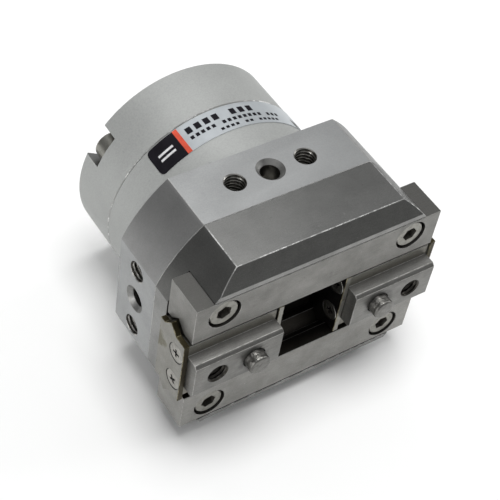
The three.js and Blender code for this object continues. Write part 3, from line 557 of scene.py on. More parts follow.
def new_object(name, verts, faces, materials, face_materials=None):
    mesh = bpy.data.meshes.new(name)
    mesh.from_pydata([tuple(v) for v in verts], [], faces)
    for material in materials:
        mesh.materials.append(material)
    if face_materials:
        for polygon, index in zip(mesh.polygons, face_materials):
            polygon.material_index = index
    obj = bpy.data.objects.new(name, mesh)
    bpy.context.scene.collection.objects.link(obj)
    turn_outward(mesh)
    return obj


def turn_outward(mesh):
    bm = bmesh.new()
    bm.from_mesh(mesh)
    bmesh.ops.recalc_face_normals(bm, faces=bm.faces)
    bm.to_mesh(mesh)
    bm.free()


def turned(angle, axis):
    return Matrix.Rotation(angle, 4, axis)


def move(obj, matrix):
    """Moves an object's mesh, not the object."""
    obj.data.transform(matrix)
    turn_outward(obj.data)
    return obj


def arc(radius, start, end, steps):
    """(x, z) points on a circle about the body axis."""
    angles = [start + (end - start) * i / steps for i in range(steps + 1)]
    return [(radius * cos(a), radius * sin(a)) for a in angles]


def prism_y(name, outline, y0, y1, materials, side_materials=None):
    """A prism from depth y0 to y1 with an (x, z) outline."""
    count = len(outline)
    verts = [(x, y, z) for y in (y0, y1) for x, z in outline]
    sides = [(i, (i + 1) % count, count + (i + 1) % count, count + i) for i in range(count)]
    caps = [tuple(range(count)), tuple(range(count, 2 * count))]
    marks = list(side_materials) + [0, 0] if side_materials else None
    return new_object(name, verts, sides + caps, materials, marks)


def prism_x(name, outline, x0, x1, materials, side_materials=None):
    """A prism from x0 to x1 with a (y, z) outline."""
    obj = prism_y(name, [(-y, z) for y, z in outline], x0, x1, materials, side_materials)
    return move(obj, turned(-pi / 2, "Z"))


def lathe(name, profile, facets, materials, segment_materials=None):
    """A solid of revolution about y from (radius, y) pairs. A pair on the axis becomes one point."""
    verts = []
    rings = []
    for radius, y in profile:
        if radius == 0:
            rings.append([len(verts)] * facets)
            verts.append((0, y, 0))
        else:
            rings.append(list(range(len(verts), len(verts) + facets)))
            verts += [(x, y, z) for x, z in arc(radius, 0, 2 * pi, facets)[:-1]]
    faces = []
    marks = []
    for i, (low, high) in enumerate(zip(rings, rings[1:])):
        for j in range(facets):
            k = (j + 1) % facets
            faces.append(tuple(dict.fromkeys((low[j], low[k], high[k], high[j]))))
            marks.append(segment_materials[i] if segment_materials else 0)
    return new_object(name, verts, faces, materials, marks)


def stepped(start, *steps):
    """A lathe profile that starts at a depth.

    A step is (radius, end depth), or (first radius, last radius, end depth) for a cone.
    """
    profile = [(0, start)]
    for *radii, end in steps:
        for point in ((radii[0], profile[-1][1]), (radii[-1], end)):
            if point != profile[-1]:
                profile.append(point)
    return profile + [(0, profile[-1][1])]


def rod(name, radius, y0, y1, x, z, facets, material):
    obj = lathe(name, stepped(y0, (radius, y1)), facets, (material,))
    return move(obj, Matrix.Translation((x, 0, z)))


def bores(places, radius, y0, y1):
    """A plain hole at each (x, z) place."""
    return [rod("bore", radius, y0, y1, x, z, BORE_ROUND, BORE) for x, z in places]


def block(name, low, high, material):
    outline = [(low[0], low[2]), (high[0], low[2]), (high[0], high[2]), (low[0], high[2])]
    return prism_y(name, outline, low[1], high[1], (material,))


def boolean(obj, tools, operation):
    """Joins or cuts with each tool in turn; the new faces keep the tool's material."""
    for tool in tools:
        modifier = obj.modifiers.new("boolean", "BOOLEAN")
        modifier.operation = operation
        modifier.solver = "EXACT"
        modifier.material_mode = "TRANSFER"
        modifier.object = tool
        graph = bpy.context.evaluated_depsgraph_get()
        result = bpy.data.meshes.new_from_object(obj.evaluated_get(graph))
        old = obj.data
        obj.modifiers.clear()
        obj.data = result
        bpy.data.meshes.remove(old)
        bpy.data.objects.remove(tool)
    return obj


def cut(obj, *tools):
    return boolean(obj, tools, "DIFFERENCE")


def fuse(obj, *tools):
    return boolean(obj, tools, "UNION")


def slot_of(mesh, material):
    """A material's slot number in a mesh, added if need be."""
    if material.name not in mesh.materials:
        mesh.materials.append(material)
    return mesh.materials.find(material.name)


def gather(first, *others):
    """Puts separate solids that don't touch into one object, keeping their materials."""
    bm = bmesh.new()
    bm.from_mesh(first.data)
    for other in others:
        slots = [slot_of(first.data, material) for material in other.data.materials]
        count = len(bm.faces)
        bm.from_mesh(other.data)
        bm.faces.ensure_lookup_table()
        for face in bm.faces[count:]:
            face.material_index = slots[face.material_index]
        bpy.data.objects.remove(other)
    bm.to_mesh(first.data)
    bm.free()
    return first


def wear_edges(obj, width, material, chosen=None):
    """Rubs sharp edges down to a narrow facet of its own material.

    chosen(middle, direction) picks the edges; without it, every sharp edge is rubbed.
    """
    slot = slot_of(obj.data, material)
    bm = bmesh.new()
    bm.from_mesh(obj.data)
    edges = []
    for edge in bm.edges:
        if len(edge.link_faces) != 2 or edge.calc_face_angle(0) < WEAR_ANGLE:
            continue
        first, second = (vert.co for vert in edge.verts)
        if chosen is None or chosen((first + second) / 2, (second - first).normalized()):
            edges.append(edge)
    bmesh.ops.bevel(
        bm,
        geom=edges,
        offset=width,
        offset_type="OFFSET",
        segments=1,
        affect="EDGES",
        material=slot,
        clamp_overlap=False,
    )
    bm.to_mesh(obj.data)
    bm.free()
    return obj


def smooth(obj):
    """Smooth shading, kept crisp at real edges."""
    bm = bmesh.new()
    bm.from_mesh(obj.data)
    for face in bm.faces:
        face.smooth = True
    for edge in bm.edges:
        edge.smooth = len(edge.link_faces) == 2 and edge.calc_face_angle(0) < SHARP_ANGLE
    bm.to_mesh(obj.data)
    bm.free()


def finish_piece(obj, body, slot_name, *nodes):
    """Puts a piece in the row frame, in metres, and hands it to its body in place of CAD nodes."""
    smooth(obj)
    obj.data.transform(Matrix.Translation((0, FRONT_PLANE, AXIS_HEIGHT)) @ Matrix.Scale(MM, 4))
    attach(obj, body)
    if nodes:
        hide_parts(*nodes)


# ---- shared details ----


def outward(angle, y, along=0.0):
    """Turns a shape whose outward axis is +y to point along the angle in the x-z plane at depth y."""
    turn = turned(-angle, "Y") @ turned(-pi / 2, "Z")
    return Matrix.Translation((0, y, 0)) @ turn @ Matrix.Translation((0, 0, along))


def forward(x, z, y=0.0):
    """Turns a shape whose outward axis is +y to face the front, -y, at (x, y, z)."""
    return Matrix.Translation((x, y, z)) @ turned(pi, "Z")


def sideways(x, out, z):
    """Turns a shape whose outward axis is +y to look along x, at a plate screw's place."""
    turn = turned(-out * pi / 2, "Z")
    return Matrix.Translation((x, PLATE_SCREW_Y, z)) @ turn


def hand(obj, side):
    """The left finger's parts are the right one's turned half a turn about the body axis."""
    if side == "left":
        obj.data.transform(turned(pi, "Y"))


def hole_tool(radius, mouth, level, length, matrix):
    """A blind drilled hole with a chamfered mouth."""
    profile = stepped(
        level - length - radius / 2,
        (0, radius, level - length),
        (radius, level - (mouth - radius)),
        (radius, mouth + OVERCUT, level + OVERCUT),
    )
    tool = lathe("hole_tool", profile, HOLE_ROUND, (BORE, CHAMFER), (0, 0, 1, 1))
    return move(tool, matrix)


def thread_tool(major, core, pitch, level, bottom, matrix, finish=THREAD):
    """A tapped hole from bottom up to level: its wall follows the thread, its grooves are painted dark as
    shade, and its mouth is broken.
    """
    top = level + OVERCUT
    rows = round((top - bottom) / pitch * THREAD_ROWS)
    verts = []
    for i in range(rows + 1):
        y = bottom + (top - bottom) * i / rows
        mouth = major + MOUTH_BREAK + y - level
        for j, (x, z) in enumerate(arc(1.0, 0, 2 * pi, THREAD_FACETS)[:-1]):
            turn = (y / pitch - j / THREAD_FACETS) % 1.0
            radius = max(core + (major - core) * abs(2 * turn - 1), mouth)
            verts.append((radius * x, y, radius * z))
    verts += [(0, bottom - core / 2, 0), (0, top, 0)]
    faces = []
    marks = []
    for i in range(rows):
        low, high = i * THREAD_FACETS, (i + 1) * THREAD_FACETS
        for j in range(THREAD_FACETS):
            k = (j + 1) % THREAD_FACETS
            faces.append((low + j, low + k, high + k, high + j))
            y = bottom + (top - bottom) * (i + 0.5) / rows
            turn = (y / pitch - (j + 0.5) / THREAD_FACETS) % 1.0
            # the grooves below the mouth are painted dark as shade
            marks.append(ROOT_SHADE_SLOT if abs(2 * turn - 1) > ROOT_SHARE and y < level else FLANK_SLOT)
    last = rows * THREAD_FACETS
    for j in range(THREAD_FACETS):
        k = (j + 1) % THREAD_FACETS
        faces += [(k, j, len(verts) - 2), (last + j, last + k, len(verts) - 1)]
        marks += [END_SLOT, END_SLOT]
    return move(new_object("thread_tool", verts, faces, (finish, BORE, THREAD_ROOT_SHADE), marks), matrix)


def socket_screw(name, shank_length):
    """A socket head screw with its head's outer face at y = 0, looking along +y."""
    tip = -SCREW_HEAD_HEIGHT - shank_length
    profile = stepped(
        tip,
        (SCREW_SHANK_RADIUS - SHANK_TIP_CHAMFER, SCREW_SHANK_RADIUS, tip + SHANK_TIP_CHAMFER),
        (SCREW_SHANK_RADIUS, -SCREW_HEAD_HEIGHT),
        (SCREW_HEAD_RADIUS, -SCREW_LIP),
        (SCREW_HEAD_RADIUS, SCREW_HEAD_RADIUS - SCREW_LIP, 0),
    )
    screw = lathe(name, profile, SCREW_ROUND, (SCREW, SCREW_RIM), (0, 0, 0, 0, 0, 1, 0))
    corner = SOCKET_FLATS / sqrt(3)
    hollow = ((0, -SOCKET_DEPTH - SOCKET_CONE), (corner, -SOCKET_DEPTH), (corner, OVERCUT), (0, OVERCUT))
    return cut(screw, lathe("socket", hollow, HEX_SIDES, (SOCKET,)))


def cross_screw(name, length):
    """A countersunk cross-recess screw with its face at y = 0, looking along +y."""
    cone = CROSS_HEAD_RADIUS - CROSS_SHANK_RADIUS
    profile = stepped(
        -length,
        (CROSS_SHANK_RADIUS - CROSS_RIM, CROSS_SHANK_RADIUS, -length + CROSS_RIM),
        (CROSS_SHANK_RADIUS, -cone),
        (CROSS_SHANK_RADIUS, CROSS_HEAD_RADIUS, -CROSS_RIM),
        (CROSS_HEAD_RADIUS, CROSS_HEAD_RADIUS - CROSS_RIM, 0),
    )
    screw = lathe(name, profile, SEAT_ROUND, (CROSS_STEEL, SCREW_RIM), (0, 0, 0, 0, 1, 0))
    top_length, top_width, foot_length, foot_width, depth = CROSS_ARM
    for turn in (0, pi / 2):
        verts = [(sx * top_length, OVERCUT / 2, sz * top_width) for sx, sz in CORNERS]
        verts += [(sx * foot_length, -depth, sz * foot_width) for sx, sz in CORNERS]
        faces = [(0, 1, 2, 3), (7, 6, 5, 4), (0, 4, 5, 1), (1, 5, 6, 2), (2, 6, 7, 3), (3, 7, 4, 0)]
        # the cross recess is painted near-black as shade
        arm = new_object("cross_arm", verts, faces, (RECESS_SHADE,))
        cut(screw, move(arm, turned(turn, "Y")))
    return screw


# ---- body shell ----


def body_outline():
    """The square body's outline, and 1 for each side that lies on a round corner or 0 on a flat."""
    low = acos(SIDE_FLAT / CORNER_RADIUS)
    high = asin(TOP_FLAT / CORNER_RADIUS)
    spans = ((low, high), (pi - high, pi - low), (pi + low, pi + high), (2 * pi - high, 2 * pi - low))
    outline = [point for start, end in spans for point in arc(CORNER_RADIUS, start, end, CORNER_STEPS)]
    sides = ([1] * CORNER_STEPS + [0]) * len(spans)
    return outline, sides


def flat_sides():
    """(angle, level) of each of the four flats."""
    return ((0, SIDE_FLAT), (pi / 2, TOP_FLAT), (pi, SIDE_FLAT), (-pi / 2, TOP_FLAT))


def guide_screw_places():
    return [(sx * GUIDE_SCREW_X, sz * GUIDE_SCREW_Z) for sz in (-1, 1) for sx in (-1, 1)]


def cap_screw_places():
    return [(CAP_SCREW_CIRCLE * cos(a), CAP_SCREW_CIRCLE * sin(a)) for a in CAP_SCREW_ANGLES]


def build_housing():
    front = BASE_HIGH.y + SEAM
    rear = HOUSING_HIGH.y
    outline, sides = body_outline()
    square = prism_y("housing_shell", outline, front, FLAT_REAR, (FLAT, SATIN), sides)
    wear_edges(square, FINE_EDGE, SATIN_EDGE, lambda middle, along: middle.y < FLAT_REAR - FINE_EDGE)
    profile = stepped(
        FLAT_REAR - OVERCUT,
        (REAR_RADIUS, rear - FINE_EDGE),
        (REAR_RADIUS, REAR_RADIUS - FINE_EDGE, rear),
    )
    shell = fuse(square, lathe("round_rear", profile, ROUND, (BLASTED, SATIN_EDGE), (0, 0, 1, 0)))
    rooms = stepped(
        front - OVERCUT,
        (CAM_ROOM_RADIUS, CAM_ROOM_REAR),
        (SHAFT_ROOM_RADIUS, BEARING_SEAT_FRONT),
        (BEARING_SEAT_RADIUS, CHAMBER_FRONT),
        (CHAMBER_RADIUS, rear + OVERCUT),
    )
    inside = lathe("inside", rooms, ROUND // 2, (BORE,))
    cut(shell, inside, *port_tools(), gather(*flat_hole_tools()))
    taps = bores(guide_screw_places(), TAP_RADIUS, front - OVERCUT, FRONT_TAP_END)
    taps += bores(cap_screw_places(), TAP_RADIUS, REAR_TAP_END, rear + OVERCUT)
    cut(shell, gather(*taps))
    finish_piece(shell, "body", "anodised_aluminium", "housing")


def flat_hole_tools():
    """On each flat: a locating hole between two tapped ones."""
    tools = []
    for angle, level in flat_sides():
        for step in (-1, 0, 1):
            matrix = outward(angle, HOLE_Y, step * HOLE_PITCH)
            if step == 0:
                tools.append(hole_tool(LOCATING_RADIUS, LOCATING_MOUTH, level, HOLE_LENGTH, matrix))
            else:
                tools.append(thread_tool(M4_MAJOR, M4_CORE, M4_PITCH, level, level - HOLE_LENGTH, matrix))
    return tools


def port_tools():
    """The air ports' round spot faces, then the tapped holes through them to the chamber."""
    profile = stepped(PORT_FACE_LEVEL, (PORT_FACE_RADIUS, REAR_RADIUS + OVERCUT))
    faces = []
    threads = []
    for angle in PORT_ANGLES:
        place = outward(angle, PORT_Y)
        faces.append(move(lathe("spot_face", profile, HOLE_ROUND, (CHAMFER,)), place))
        threads.append(thread_tool(M5_MAJOR, M5_CORE, M5_PITCH, PORT_FACE_LEVEL, PORT_BOTTOM, place))
    return faces + threads


def build_guide_base():
    rear = BASE_HIGH.y
    outline, sides = body_outline()
    # the round corners and, below, the front slopes take the milled metal's copy with painted shade
    base = prism_y("guide_base_block", outline, 0.0, rear, (MILLED, SHADED_MILLED), sides)
    channel_low = (-CORNER_RADIUS, -OVERCUT, -GUIDE_HIGH.z - LOWER_GUIDE_SEAM)
    channel_high = (CORNER_RADIUS, CHANNEL_FLOOR, GUIDE_HIGH.z + UPPER_GUIDE_SEAM)
    # the channel between the guide bars is painted near-black as shade
    channel = block("channel", channel_low, channel_high, RECESS_SHADE)
    rise = (TOP_FLAT - STRIP_EDGE) / SLOPE_DEPTH
    far = 2 * SLOPE_DEPTH
    slopes = []
    for side in (-1, 1):
        wedge = (
            (-OVERCUT, side * (STRIP_EDGE - rise * OVERCUT)),
            (far, side * (STRIP_EDGE + rise * far)),
            (-OVERCUT, side * (STRIP_EDGE + rise * far)),
        )
        slopes.append(prism_x("slope", wedge, -CORNER_RADIUS, CORNER_RADIUS, (SHADED_MILLED,)))
    cut(base, channel, *slopes)
    wear_edges(base, FINE_EDGE, MILLED_EDGE, lambda middle, along: middle.y > rear - FINE_EDGE)
    wear_edges(base, EDGE, MILLED_EDGE, lambda middle, along: is_outer_edge(middle, rear))
    straight = WINDOW_HALF_LENGTH - WINDOW_HALF_WIDTH
    right_end = arc(WINDOW_HALF_WIDTH, -pi / 2, pi / 2, WINDOW_STEPS)
    left_end = arc(WINDOW_HALF_WIDTH, pi / 2, 3 * pi / 2, WINDOW_STEPS)
    ends = [(x + straight, z) for x, z in right_end] + [(x - straight, z) for x, z in left_end]
    # the window is painted near-black as shade
    window = prism_y("window", ends, CHANNEL_FLOOR - OVERCUT, rear + OVERCUT, (RECESS_SHADE,))
    holes = bores(guide_screw_places(), CLEARANCE_RADIUS, CHANNEL_FLOOR - OVERCUT, rear + OVERCUT)
    cut(base, gather(window, *holes))
    finish_piece(base, "body", "machined_aluminium", "guide_base")


def is_outer_edge(middle, rear):
    """True on the guide base's outer long edges, ahead of its joint with the housing."""
    return middle.y < rear - EDGE and abs(middle.z) > GUIDE_HIGH.z + EDGE


def notch_tool(angle):
    """The open-sided pocket that a cap screw's head stands in."""
    bottom = arc(NOTCH_HALF_WIDTH, pi / 2, 3 * pi / 2, CORNER_STEPS)
    outline = [(x + CAP_SCREW_CIRCLE, z) for x, z in bottom]
    reach = REAR_RADIUS + OVERCUT
    outline += [(reach, -NOTCH_HALF_WIDTH), (reach, NOTCH_HALF_WIDTH)]
    tool = prism_y("notch", outline, NOTCH_FLOOR, CAP_HIGH.y + OVERCUT, (SATIN,))
    return move(tool, turned(-angle, "Y"))


def build_cap():
    front = HOUSING_HIGH.y + CAP_SEAM
    rear = CAP_HIGH.y
    spigot = CHAMBER_RADIUS - SPIGOT_CLEARANCE
    profile = stepped(
        CAP_LOW.y,
        (spigot, O_RING_FRONT),
        (O_RING_SEAT_RADIUS, O_RING_REAR),
        (spigot, front),
        (REAR_RADIUS - CAP_LIP, REAR_RADIUS, front + CAP_LIP),
        (REAR_RADIUS, rear - CAP_CHAMFER),
        (REAR_RADIUS, REAR_RADIUS - CAP_CHAMFER, rear),
    )
    slots = (0, 0, 0, 0, 0, 0, 0, 1, 0, 2, 0)
    cap = lathe("rear_cap_shell", profile, ROUND, (BLASTED, CUT_LIP, SATIN_EDGE), slots)
    rooms = stepped(
        CAP_LOW.y - OVERCUT,
        (BEARING_SEAT_RADIUS, CAP_POCKET_REAR),
        (SHAFT_ROOM_RADIUS, CAP_SHAFT_REAR),
    )
    pocket = lathe("pocket", rooms, SEAT_ROUND, (BORE,))
    cut(cap, pocket, *[notch_tool(angle) for angle in CAP_SCREW_ANGLES])
    wear_edges(cap, FINE_EDGE, SATIN_EDGE, is_notch_rim)
    cut(cap, *bores(cap_screw_places(), CLEARANCE_RADIUS, front - OVERCUT, NOTCH_FLOOR + OVERCUT))
    finish_piece(cap, "body", "anodised_aluminium", "rear_cap")


def is_notch_rim(middle, along):
    """True on a notch's two upright edges in the cap's side."""
    radius = hypot(middle.x, middle.z)
    return abs(along.y) > ALONG_AXIS and radius > REAR_RADIUS - FINE_EDGE and middle.y > NOTCH_FLOOR


def build_guide(side, name, node, front_finish):
    half = GUIDE_HIGH.x
    inner, outer = GUIDE_LOW.z, GUIDE_HIGH.z
    outline = [
        (0.0, side * inner),
        (0.0, side * outer),
        (GUIDE_HIGH.y, side * outer),
        (GUIDE_HIGH.y, side * inner),
        (VEE_CENTRE + VEE_DEPTH, side * inner),
        (VEE_CENTRE, side * (inner + VEE_DEPTH)),
        (VEE_CENTRE - VEE_DEPTH, side * inner),
    ]
    bar = prism_x(name, outline, -half, half, (front_finish, GUIDE_TOP, OILY_STEEL), (0, 1, 1, 2, 2, 2, 2))
    wear_edges(bar, FINE_EDGE, GROUND_EDGE)
    profile = stepped(
        -GUIDE_HIGH.y - OVERCUT,
        (CLEARANCE_RADIUS, -COUNTERBORE_DEPTH),
        (COUNTERBORE_RADIUS, -FINE_EDGE),
        (COUNTERBORE_RADIUS, COUNTERBORE_RADIUS + FINE_EDGE, 0.0),
        (COUNTERBORE_RADIUS + FINE_EDGE, OVERCUT),
    )
    for sx in (-1, 1):
        # the counterbore round the screw head is painted near-black as shade
        tool = lathe("counterbore", profile, COUNTERBORE_ROUND, (RECESS_SHADE, GROUND_EDGE), (0, 0, 0, 0, 1, 1, 0))
        cut(bar, move(tool, forward(sx * GUIDE_SCREW_X, side * GUIDE_SCREW_Z)))
    finish_piece(bar, "body", "ground_steel", node)


def build_body_screws():
    head = SCREW_LOW.y
    length = SCREW_HIGH.y - SCREW_LOW.y - SCREW_HEAD_HEIGHT
    for i, (x, z) in enumerate(guide_screw_places()):
        screw = socket_screw(f"guide_bar_screw_{i + 1}", length)
        move(screw, forward(x, z, head) @ turned(SCREW_TURNS[i], "Y"))
        finish_piece(screw, "body", "plated_steel", f"guide_screw_{i + 1}")
    length = CAP_SCREW_HIGH.y - CAP_SCREW_LOW.y - SCREW_HEAD_HEIGHT
    for i, (x, z) in enumerate(cap_screw_places()):
        screw = socket_screw(f"rear_cap_screw_{i + 1}", length)
        move(screw, Matrix.Translation((x, CAP_SCREW_HIGH.y, z)))
        finish_piece(screw, "body", "plated_steel", f"cap_screw_{i + 1}")


# ---- name label ----


def wrapped_patch(name, level, start, end, y0, y1, material, round_start=0.0, round_end=0.0):
    """A thin patch wrapped round the housing between two angles, with optional rounded end corners."""
    inner = REAR_RADIUS + level
    outer = inner + (LABEL_THICKNESS if level == LABEL_GAP else PRINT_THICKNESS)
    steps = max(2, round(degrees(abs(end - start)) * PATCH_STEPS_PER_DEGREE))
    verts = []
    for i in range(steps + 1):
        angle = start + (end - start) * i / steps
        inset = max(
            corner_inset(round_start, abs(angle - start) * outer),
            corner_inset(round_end, abs(end - angle) * outer),
        )
        low, high = y0 + inset, y1 - inset
        for radius, y in ((inner, low), (outer, low), (outer, high), (inner, high)):
            verts.append((radius * cos(angle), y, radius * sin(angle)))
    faces = [(0, 1, 2, 3), tuple(range(4 * steps, 4 * steps + 4))]
    for i in range(0, 4 * steps, 4):
        faces += [(i + j, i + (j + 1) % 4, i + 4 + (j + 1) % 4, i + 4 + j) for j in range(4)]
    return new_object(name, verts, faces, (material,))


def corner_inset(radius, distance):
    """How far a rounded corner stands back from the edge at a distance from the end."""
    if distance >= radius:
        return 0.0
    return radius - sqrt(radius**2 - (radius - distance) ** 2)


def build_label():
    y0, y1 = LABEL_LOW.y, LABEL_HIGH.y
    label = wrapped_patch(
        "name_label_foil", LABEL_GAP, LABEL_START, LABEL_RED_END, y0, y1, FOIL, round_start=LABEL_ROUND
    )
    finish_piece(label, "body", "label_foil", "name_label")
    dark = wrapped_patch(
        "label_dark_block", LABEL_GAP, LABEL_RED_END, LABEL_END, y0, y1, PRINT_DARK, round_end=LABEL_ROUND
    )
    finish_piece(dark, "body", "label_foil")
    red = wrapped_patch("label_red_band", PRINT_LEVEL, LABEL_RED_START, LABEL_RED_END, y0, y1, PRINT_RED)
    finish_piece(red, "body", "label_foil")
    build_label_marks()


def printed(start, end, low, high, material):
    """A plain printed patch between two angles and two shares of the label's depth."""
    y0 = LABEL_LOW.y
    depth = LABEL_HIGH.y - y0
    return wrapped_patch("patch", PRINT_LEVEL, start, end, y0 + depth * low, y0 + depth * high, material)


def build_label_marks():
    """Rows of plain blocks, an end block and two bars. They stand for no letters."""
    patches = []
    for low, high, start, pitch, groups in LABEL_ROWS:
        column = 0
        for count in groups:
            for _ in range(count):
                left = start - pitch * column
                patches.append(printed(left, left - pitch * BLOCK_FILL, low, high, PRINT_DARK))
                column += 1
            column += 1
    patches.append(printed(*LABEL_END_BLOCK, PRINT_GREY))
    patches += [printed(*EMBLEM_SPAN, low, high, PRINT_LIGHT) for low, high in EMBLEM_BARS]
    marks = gather(*patches)
    marks.name = "label_plain_marks"
    finish_piece(marks, "body", "label_foil")


# ---- fingers ----


def build_finger(side):
    outline = [
        (FINGER_LOW.y, PAD_HALF - PAD_CHAMFER),
        (FINGER_LOW.y + PAD_CHAMFER, PAD_HALF),
        (BASE_FRONT, PAD_HALF),
        (BASE_FRONT, BASE_HALF),
        (VEE_CENTRE - VEE_DEPTH, BASE_HALF),
        (VEE_CENTRE, BASE_HALF - VEE_DEPTH),
        (VEE_CENTRE + VEE_DEPTH, BASE_HALF),
        (FINGER_HIGH.y, BASE_HALF),
    ]
    outline += [(y, -z) for y, z in reversed(outline)]
    pad_sides = [0, 0]
    base_sides = [1] * (len(outline) - 2 * len(pad_sides) - 1)
    sides = pad_sides + base_sides + pad_sides + [0]
    finishes = (FINGER_STEEL, FINGER_BASE)
    finger = prism_x(f"{side}_finger_block", outline, FINGER_LOW.x, FINGER_HIGH.x, finishes, sides)
    wear_edges(finger, FINE_EDGE, GROUND_EDGE)
    level = -FINGER_LOW.y
    tap_place = forward(FINGER_TAP_X, 0)
    tap = thread_tool(M4_MAJOR, M4_CORE, M4_PITCH, level, level - HOLE_LENGTH, tap_place, OILY_THREAD)
    seat_radius = DOWEL_RADIUS + DOWEL_FIT
    ring_radius = DOWEL_RADIUS + DOWEL_RING
    profile = stepped(
        -DOWEL_HIGH.y - DOWEL_FIT,
        (seat_radius, level - DOWEL_RING),
        (seat_radius, ring_radius, level),
        (ring_radius, level + OVERCUT),
    )
    # the dowel's seat and the ring round its base are painted near-black as shade
    seat = lathe("seat", profile, SEAT_ROUND, (RECESS_SHADE,))
    drive_end = FINGER_HIGH.y + OVERCUT
    drive = rod("drive", DRIVE_HOLE_RADIUS, DRIVE_HOLE_START, drive_end, DRIVE_PIN_X, 0, DRIVE_ROUND, BORE)
    cut(finger, tap, move(seat, forward(DOWEL_X, 0)), drive)
    for x, out in ((FINGER_LOW.x, -1), (FINGER_HIGH.x, 1)):
        for sz in (-1, 1):
            hole = rod("hole", CROSS_HOLE_RADIUS, -PLATE_HOLE_DEPTH, OVERCUT, 0, 0, BORE_ROUND, BORE)
            cut(finger, move(hole, sideways(x, out, sz * PLATE_SCREW_Z)))
    hand(finger, side)
    finish_piece(finger, f"{side}_jaw", "ground_steel", f"{side}_finger")


def plate_faces():
    """(word, outer face, inner face, outward direction, finishes) of the two end plates."""
    inner_low, inner_high = node_box("right_inner_plate")
    outer_low, outer_high = node_box("right_outer_plate")
    return (
        ("inner", inner_low.x, inner_high.x, -1, (OILY_PLATE, PLATE)),
        ("outer", outer_high.x, outer_low.x, 1, (PLATE, PLATE_RIM)),
    )


def plate_outline():
    """The end plate's outline: a flat with an ear at each end that covers the rollers."""
    outline = [
        (PLATE_FRONT, PLATE_HALF),
        (VEE_CENTRE - EAR_FOOT, PLATE_HALF),
        (VEE_CENTRE - EAR_TOP, PLATE_EAR - EAR_TOP),
        (VEE_CENTRE, PLATE_EAR),
        (VEE_CENTRE + EAR_TOP, PLATE_EAR - EAR_TOP),
        (VEE_CENTRE + EAR_FOOT, PLATE_HALF),
        (PLATE_REAR, PLATE_HALF),
    ]
    return outline + [(y, -z) for y, z in reversed(outline)]


def build_plates(side):
    countersink = stepped(
        -2 * PLATE_THICKNESS,
        (CROSS_HOLE_RADIUS, CROSS_SHANK_RADIUS - CROSS_HEAD_RADIUS),
        (CROSS_HOLE_RADIUS, CROSS_HEAD_RADIUS + 2 * CROSS_FIT, CROSS_FIT),
    )
    outline = plate_outline()
    for word, face, back, out, finishes in plate_faces():
        low, high = sorted((face, back))
        rim = [1] * len(outline)
        plate = prism_x(f"{side}_{word}_end_plate", outline, low, high, finishes, rim)
        wear_edges(plate, FINE_EDGE, PLATE_EDGE)
        for sz in (-1, 1):
            # the countersink round the screw head is painted near-black as shade
            tool = lathe("countersink", countersink, SEAT_ROUND, (RECESS_SHADE,))
            cut(plate, move(tool, sideways(face, out, sz * PLATE_SCREW_Z)))
        hand(plate, side)
        finish_piece(plate, f"{side}_jaw", "plated_steel", f"{side}_{word}_plate")
        for sz, letter, turn in ((-1, "b", CROSS_TURNS[0]), (1, "a", CROSS_TURNS[1])):
            screw = cross_screw(f"{side}_{word}_cross_screw_{letter}", CROSS_LENGTH)
            seated = sideways(face - out * CROSS_SINK, out, sz * PLATE_SCREW_Z)
            move(screw, seated @ turned(turn, "Y"))
            hand(screw, side)
            finish_piece(screw, f"{side}_jaw", "dark_steel", f"{side}_{word}_plate_screw_{letter}")


def build_dowel(side):
    top = -DOWEL_LOW.y
    tip = []
    for i in range(DOWEL_STEPS + 1):
        angle = pi / 2 * i / DOWEL_STEPS
        radius = DOWEL_RADIUS - DOWEL_ROUND * (1 - cos(angle))
        tip.append((radius, top - DOWEL_ROUND * (1 - sin(angle))))
    profile = [(0, -DOWEL_HIGH.y), (DOWEL_RADIUS, -DOWEL_HIGH.y)] + tip + [(0, top)]
    dowel = lathe(f"{side}_locating_dowel", profile, SCREW_ROUND, (PIN,))
    move(dowel, forward(DOWEL_X, 0))
    hand(dowel, side)
    finish_piece(dowel, f"{side}_jaw", "plated_steel", f"{side}_dowel_pin")


# ---- CAD nodes that stay ----


def finish_inner_nodes():
    """The pieces inside keep their CAD shape and get real finishes."""
    sides = ("left", "right")
    looks = (
        (HARDENED, ["vane_shaft", "cam_disc"] + [f"{side}_drive_pin" for side in sides]),
        (SCREW, ["cam_screw", "front_bearing", "rear_bearing"] + [f"{side}_drive_roller" for side in sides]),
        (SATIN, ["stop_block_1", "stop_block_2"]),
        (RUBBER, ["front_shaft_seal", "rear_shaft_seal", "cap_o_ring", "vane_seal_1", "vane_seal_2"]),
        (BRASS, [f"{side}_{level}_roller_cage" for side in sides for level in ("upper", "lower")]),
    )
    for material, names in looks:
        for name in names:
            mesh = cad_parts[name].data
            mesh.materials.clear()
            mesh.materials.append(material)


# ---- studio ----


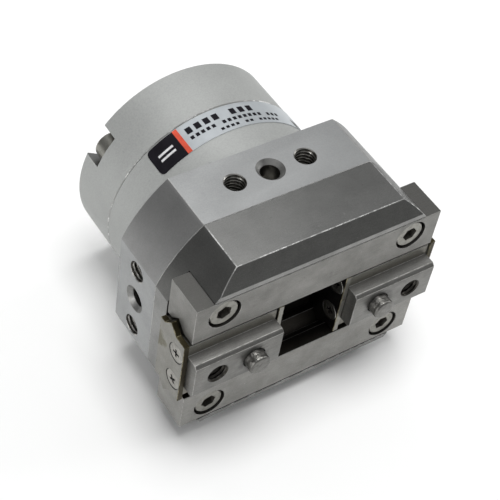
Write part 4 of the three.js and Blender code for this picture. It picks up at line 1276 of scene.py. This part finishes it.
def build_floor():
    verts = [(sx * FLOOR_HALF, sy * FLOOR_HALF, 0) for sx, sy in CORNERS]
    floor = new_object("studio_floor", verts, [(0, 1, 2, 3)], ())
    n = Nodes("floor_paint")
    n.shader.inputs["Roughness"].default_value = 0.7
    n.shader.inputs["Specular IOR Level"].default_value = 0.2
    cloud = n.noise(0.01, 3.0)
    n.link(colour_ramp(n.tree, cloud, FLOOR_TONES), n.shader.inputs["Base Color"])
    n.bump([(n.noise(1.5, 2.0), 0.05, 0.02)])
    floor.data.materials.append(n.material)


def area_light(name, location, size, power):
    data = bpy.data.lights.new(name, "AREA")
    data.shape = "RECTANGLE"
    data.size, data.size_y = size
    data.energy = power
    light = bpy.data.objects.new(name, data)
    light.location = location
    light.rotation_euler = (CAMERA_TARGET - Vector(location)).to_track_quat("-Z", "Y").to_euler()
    bpy.context.scene.collection.objects.link(light)


def build_room():
    """A dim room, darkest at the horizon."""
    world = bpy.data.worlds.new("studio")
    world.use_nodes = True
    tree = world.node_tree
    direction = tree.nodes.new("ShaderNodeTexCoord").outputs["Generated"]
    split = tree.nodes.new("ShaderNodeSeparateXYZ")
    tree.links.new(direction, split.inputs["Vector"])
    stops = [(height, shade(ROOM_TINT, level)) for height, level in ROOM_BRIGHTNESS]
    room = colour_ramp(tree, split.outputs["Z"], stops)
    tree.links.new(room, tree.nodes["Background"].inputs["Color"])
    bpy.context.scene.world = world


def build_camera():
    """A close view from above the left finger, slightly rolled."""
    data = bpy.data.cameras.new("view")
    data.lens = CAMERA_LENS
    data.sensor_width = CAMERA_SENSOR
    data.clip_start = CAMERA_NEAR
    camera = bpy.data.objects.new("view", data)
    turn = (
        turned(CAMERA_AZIMUTH, "Z")
        @ turned(pi / 2 - CAMERA_ELEVATION, "X")
        @ turned(CAMERA_ROLL, "Z")
    )
    back = Matrix.Translation((0, 0, CAMERA_DISTANCE))
    camera.matrix_world = Matrix.Translation(CAMERA_TARGET) @ turn @ back
    bpy.context.scene.collection.objects.link(camera)
    bpy.context.scene.camera = camera
    bpy.context.scene.view_settings.view_transform = "Standard"


build_housing()
build_guide_base()
build_cap()
build_guide(1, "upper_guide_bar", "upper_guide", GROUND)
# the lower bar's front is painted lighter than the upper bar's
build_guide(-1, "lower_guide_bar", "lower_guide", LIT_GROUND)
build_body_screws()
build_label()
for jaw in ("left", "right"):
    build_finger(jaw)
    build_plates(jaw)
    build_dowel(jaw)
finish_inner_nodes()
build_floor()
for softbox in SOFTBOXES:
    area_light(*softbox)
build_room()
build_camera()
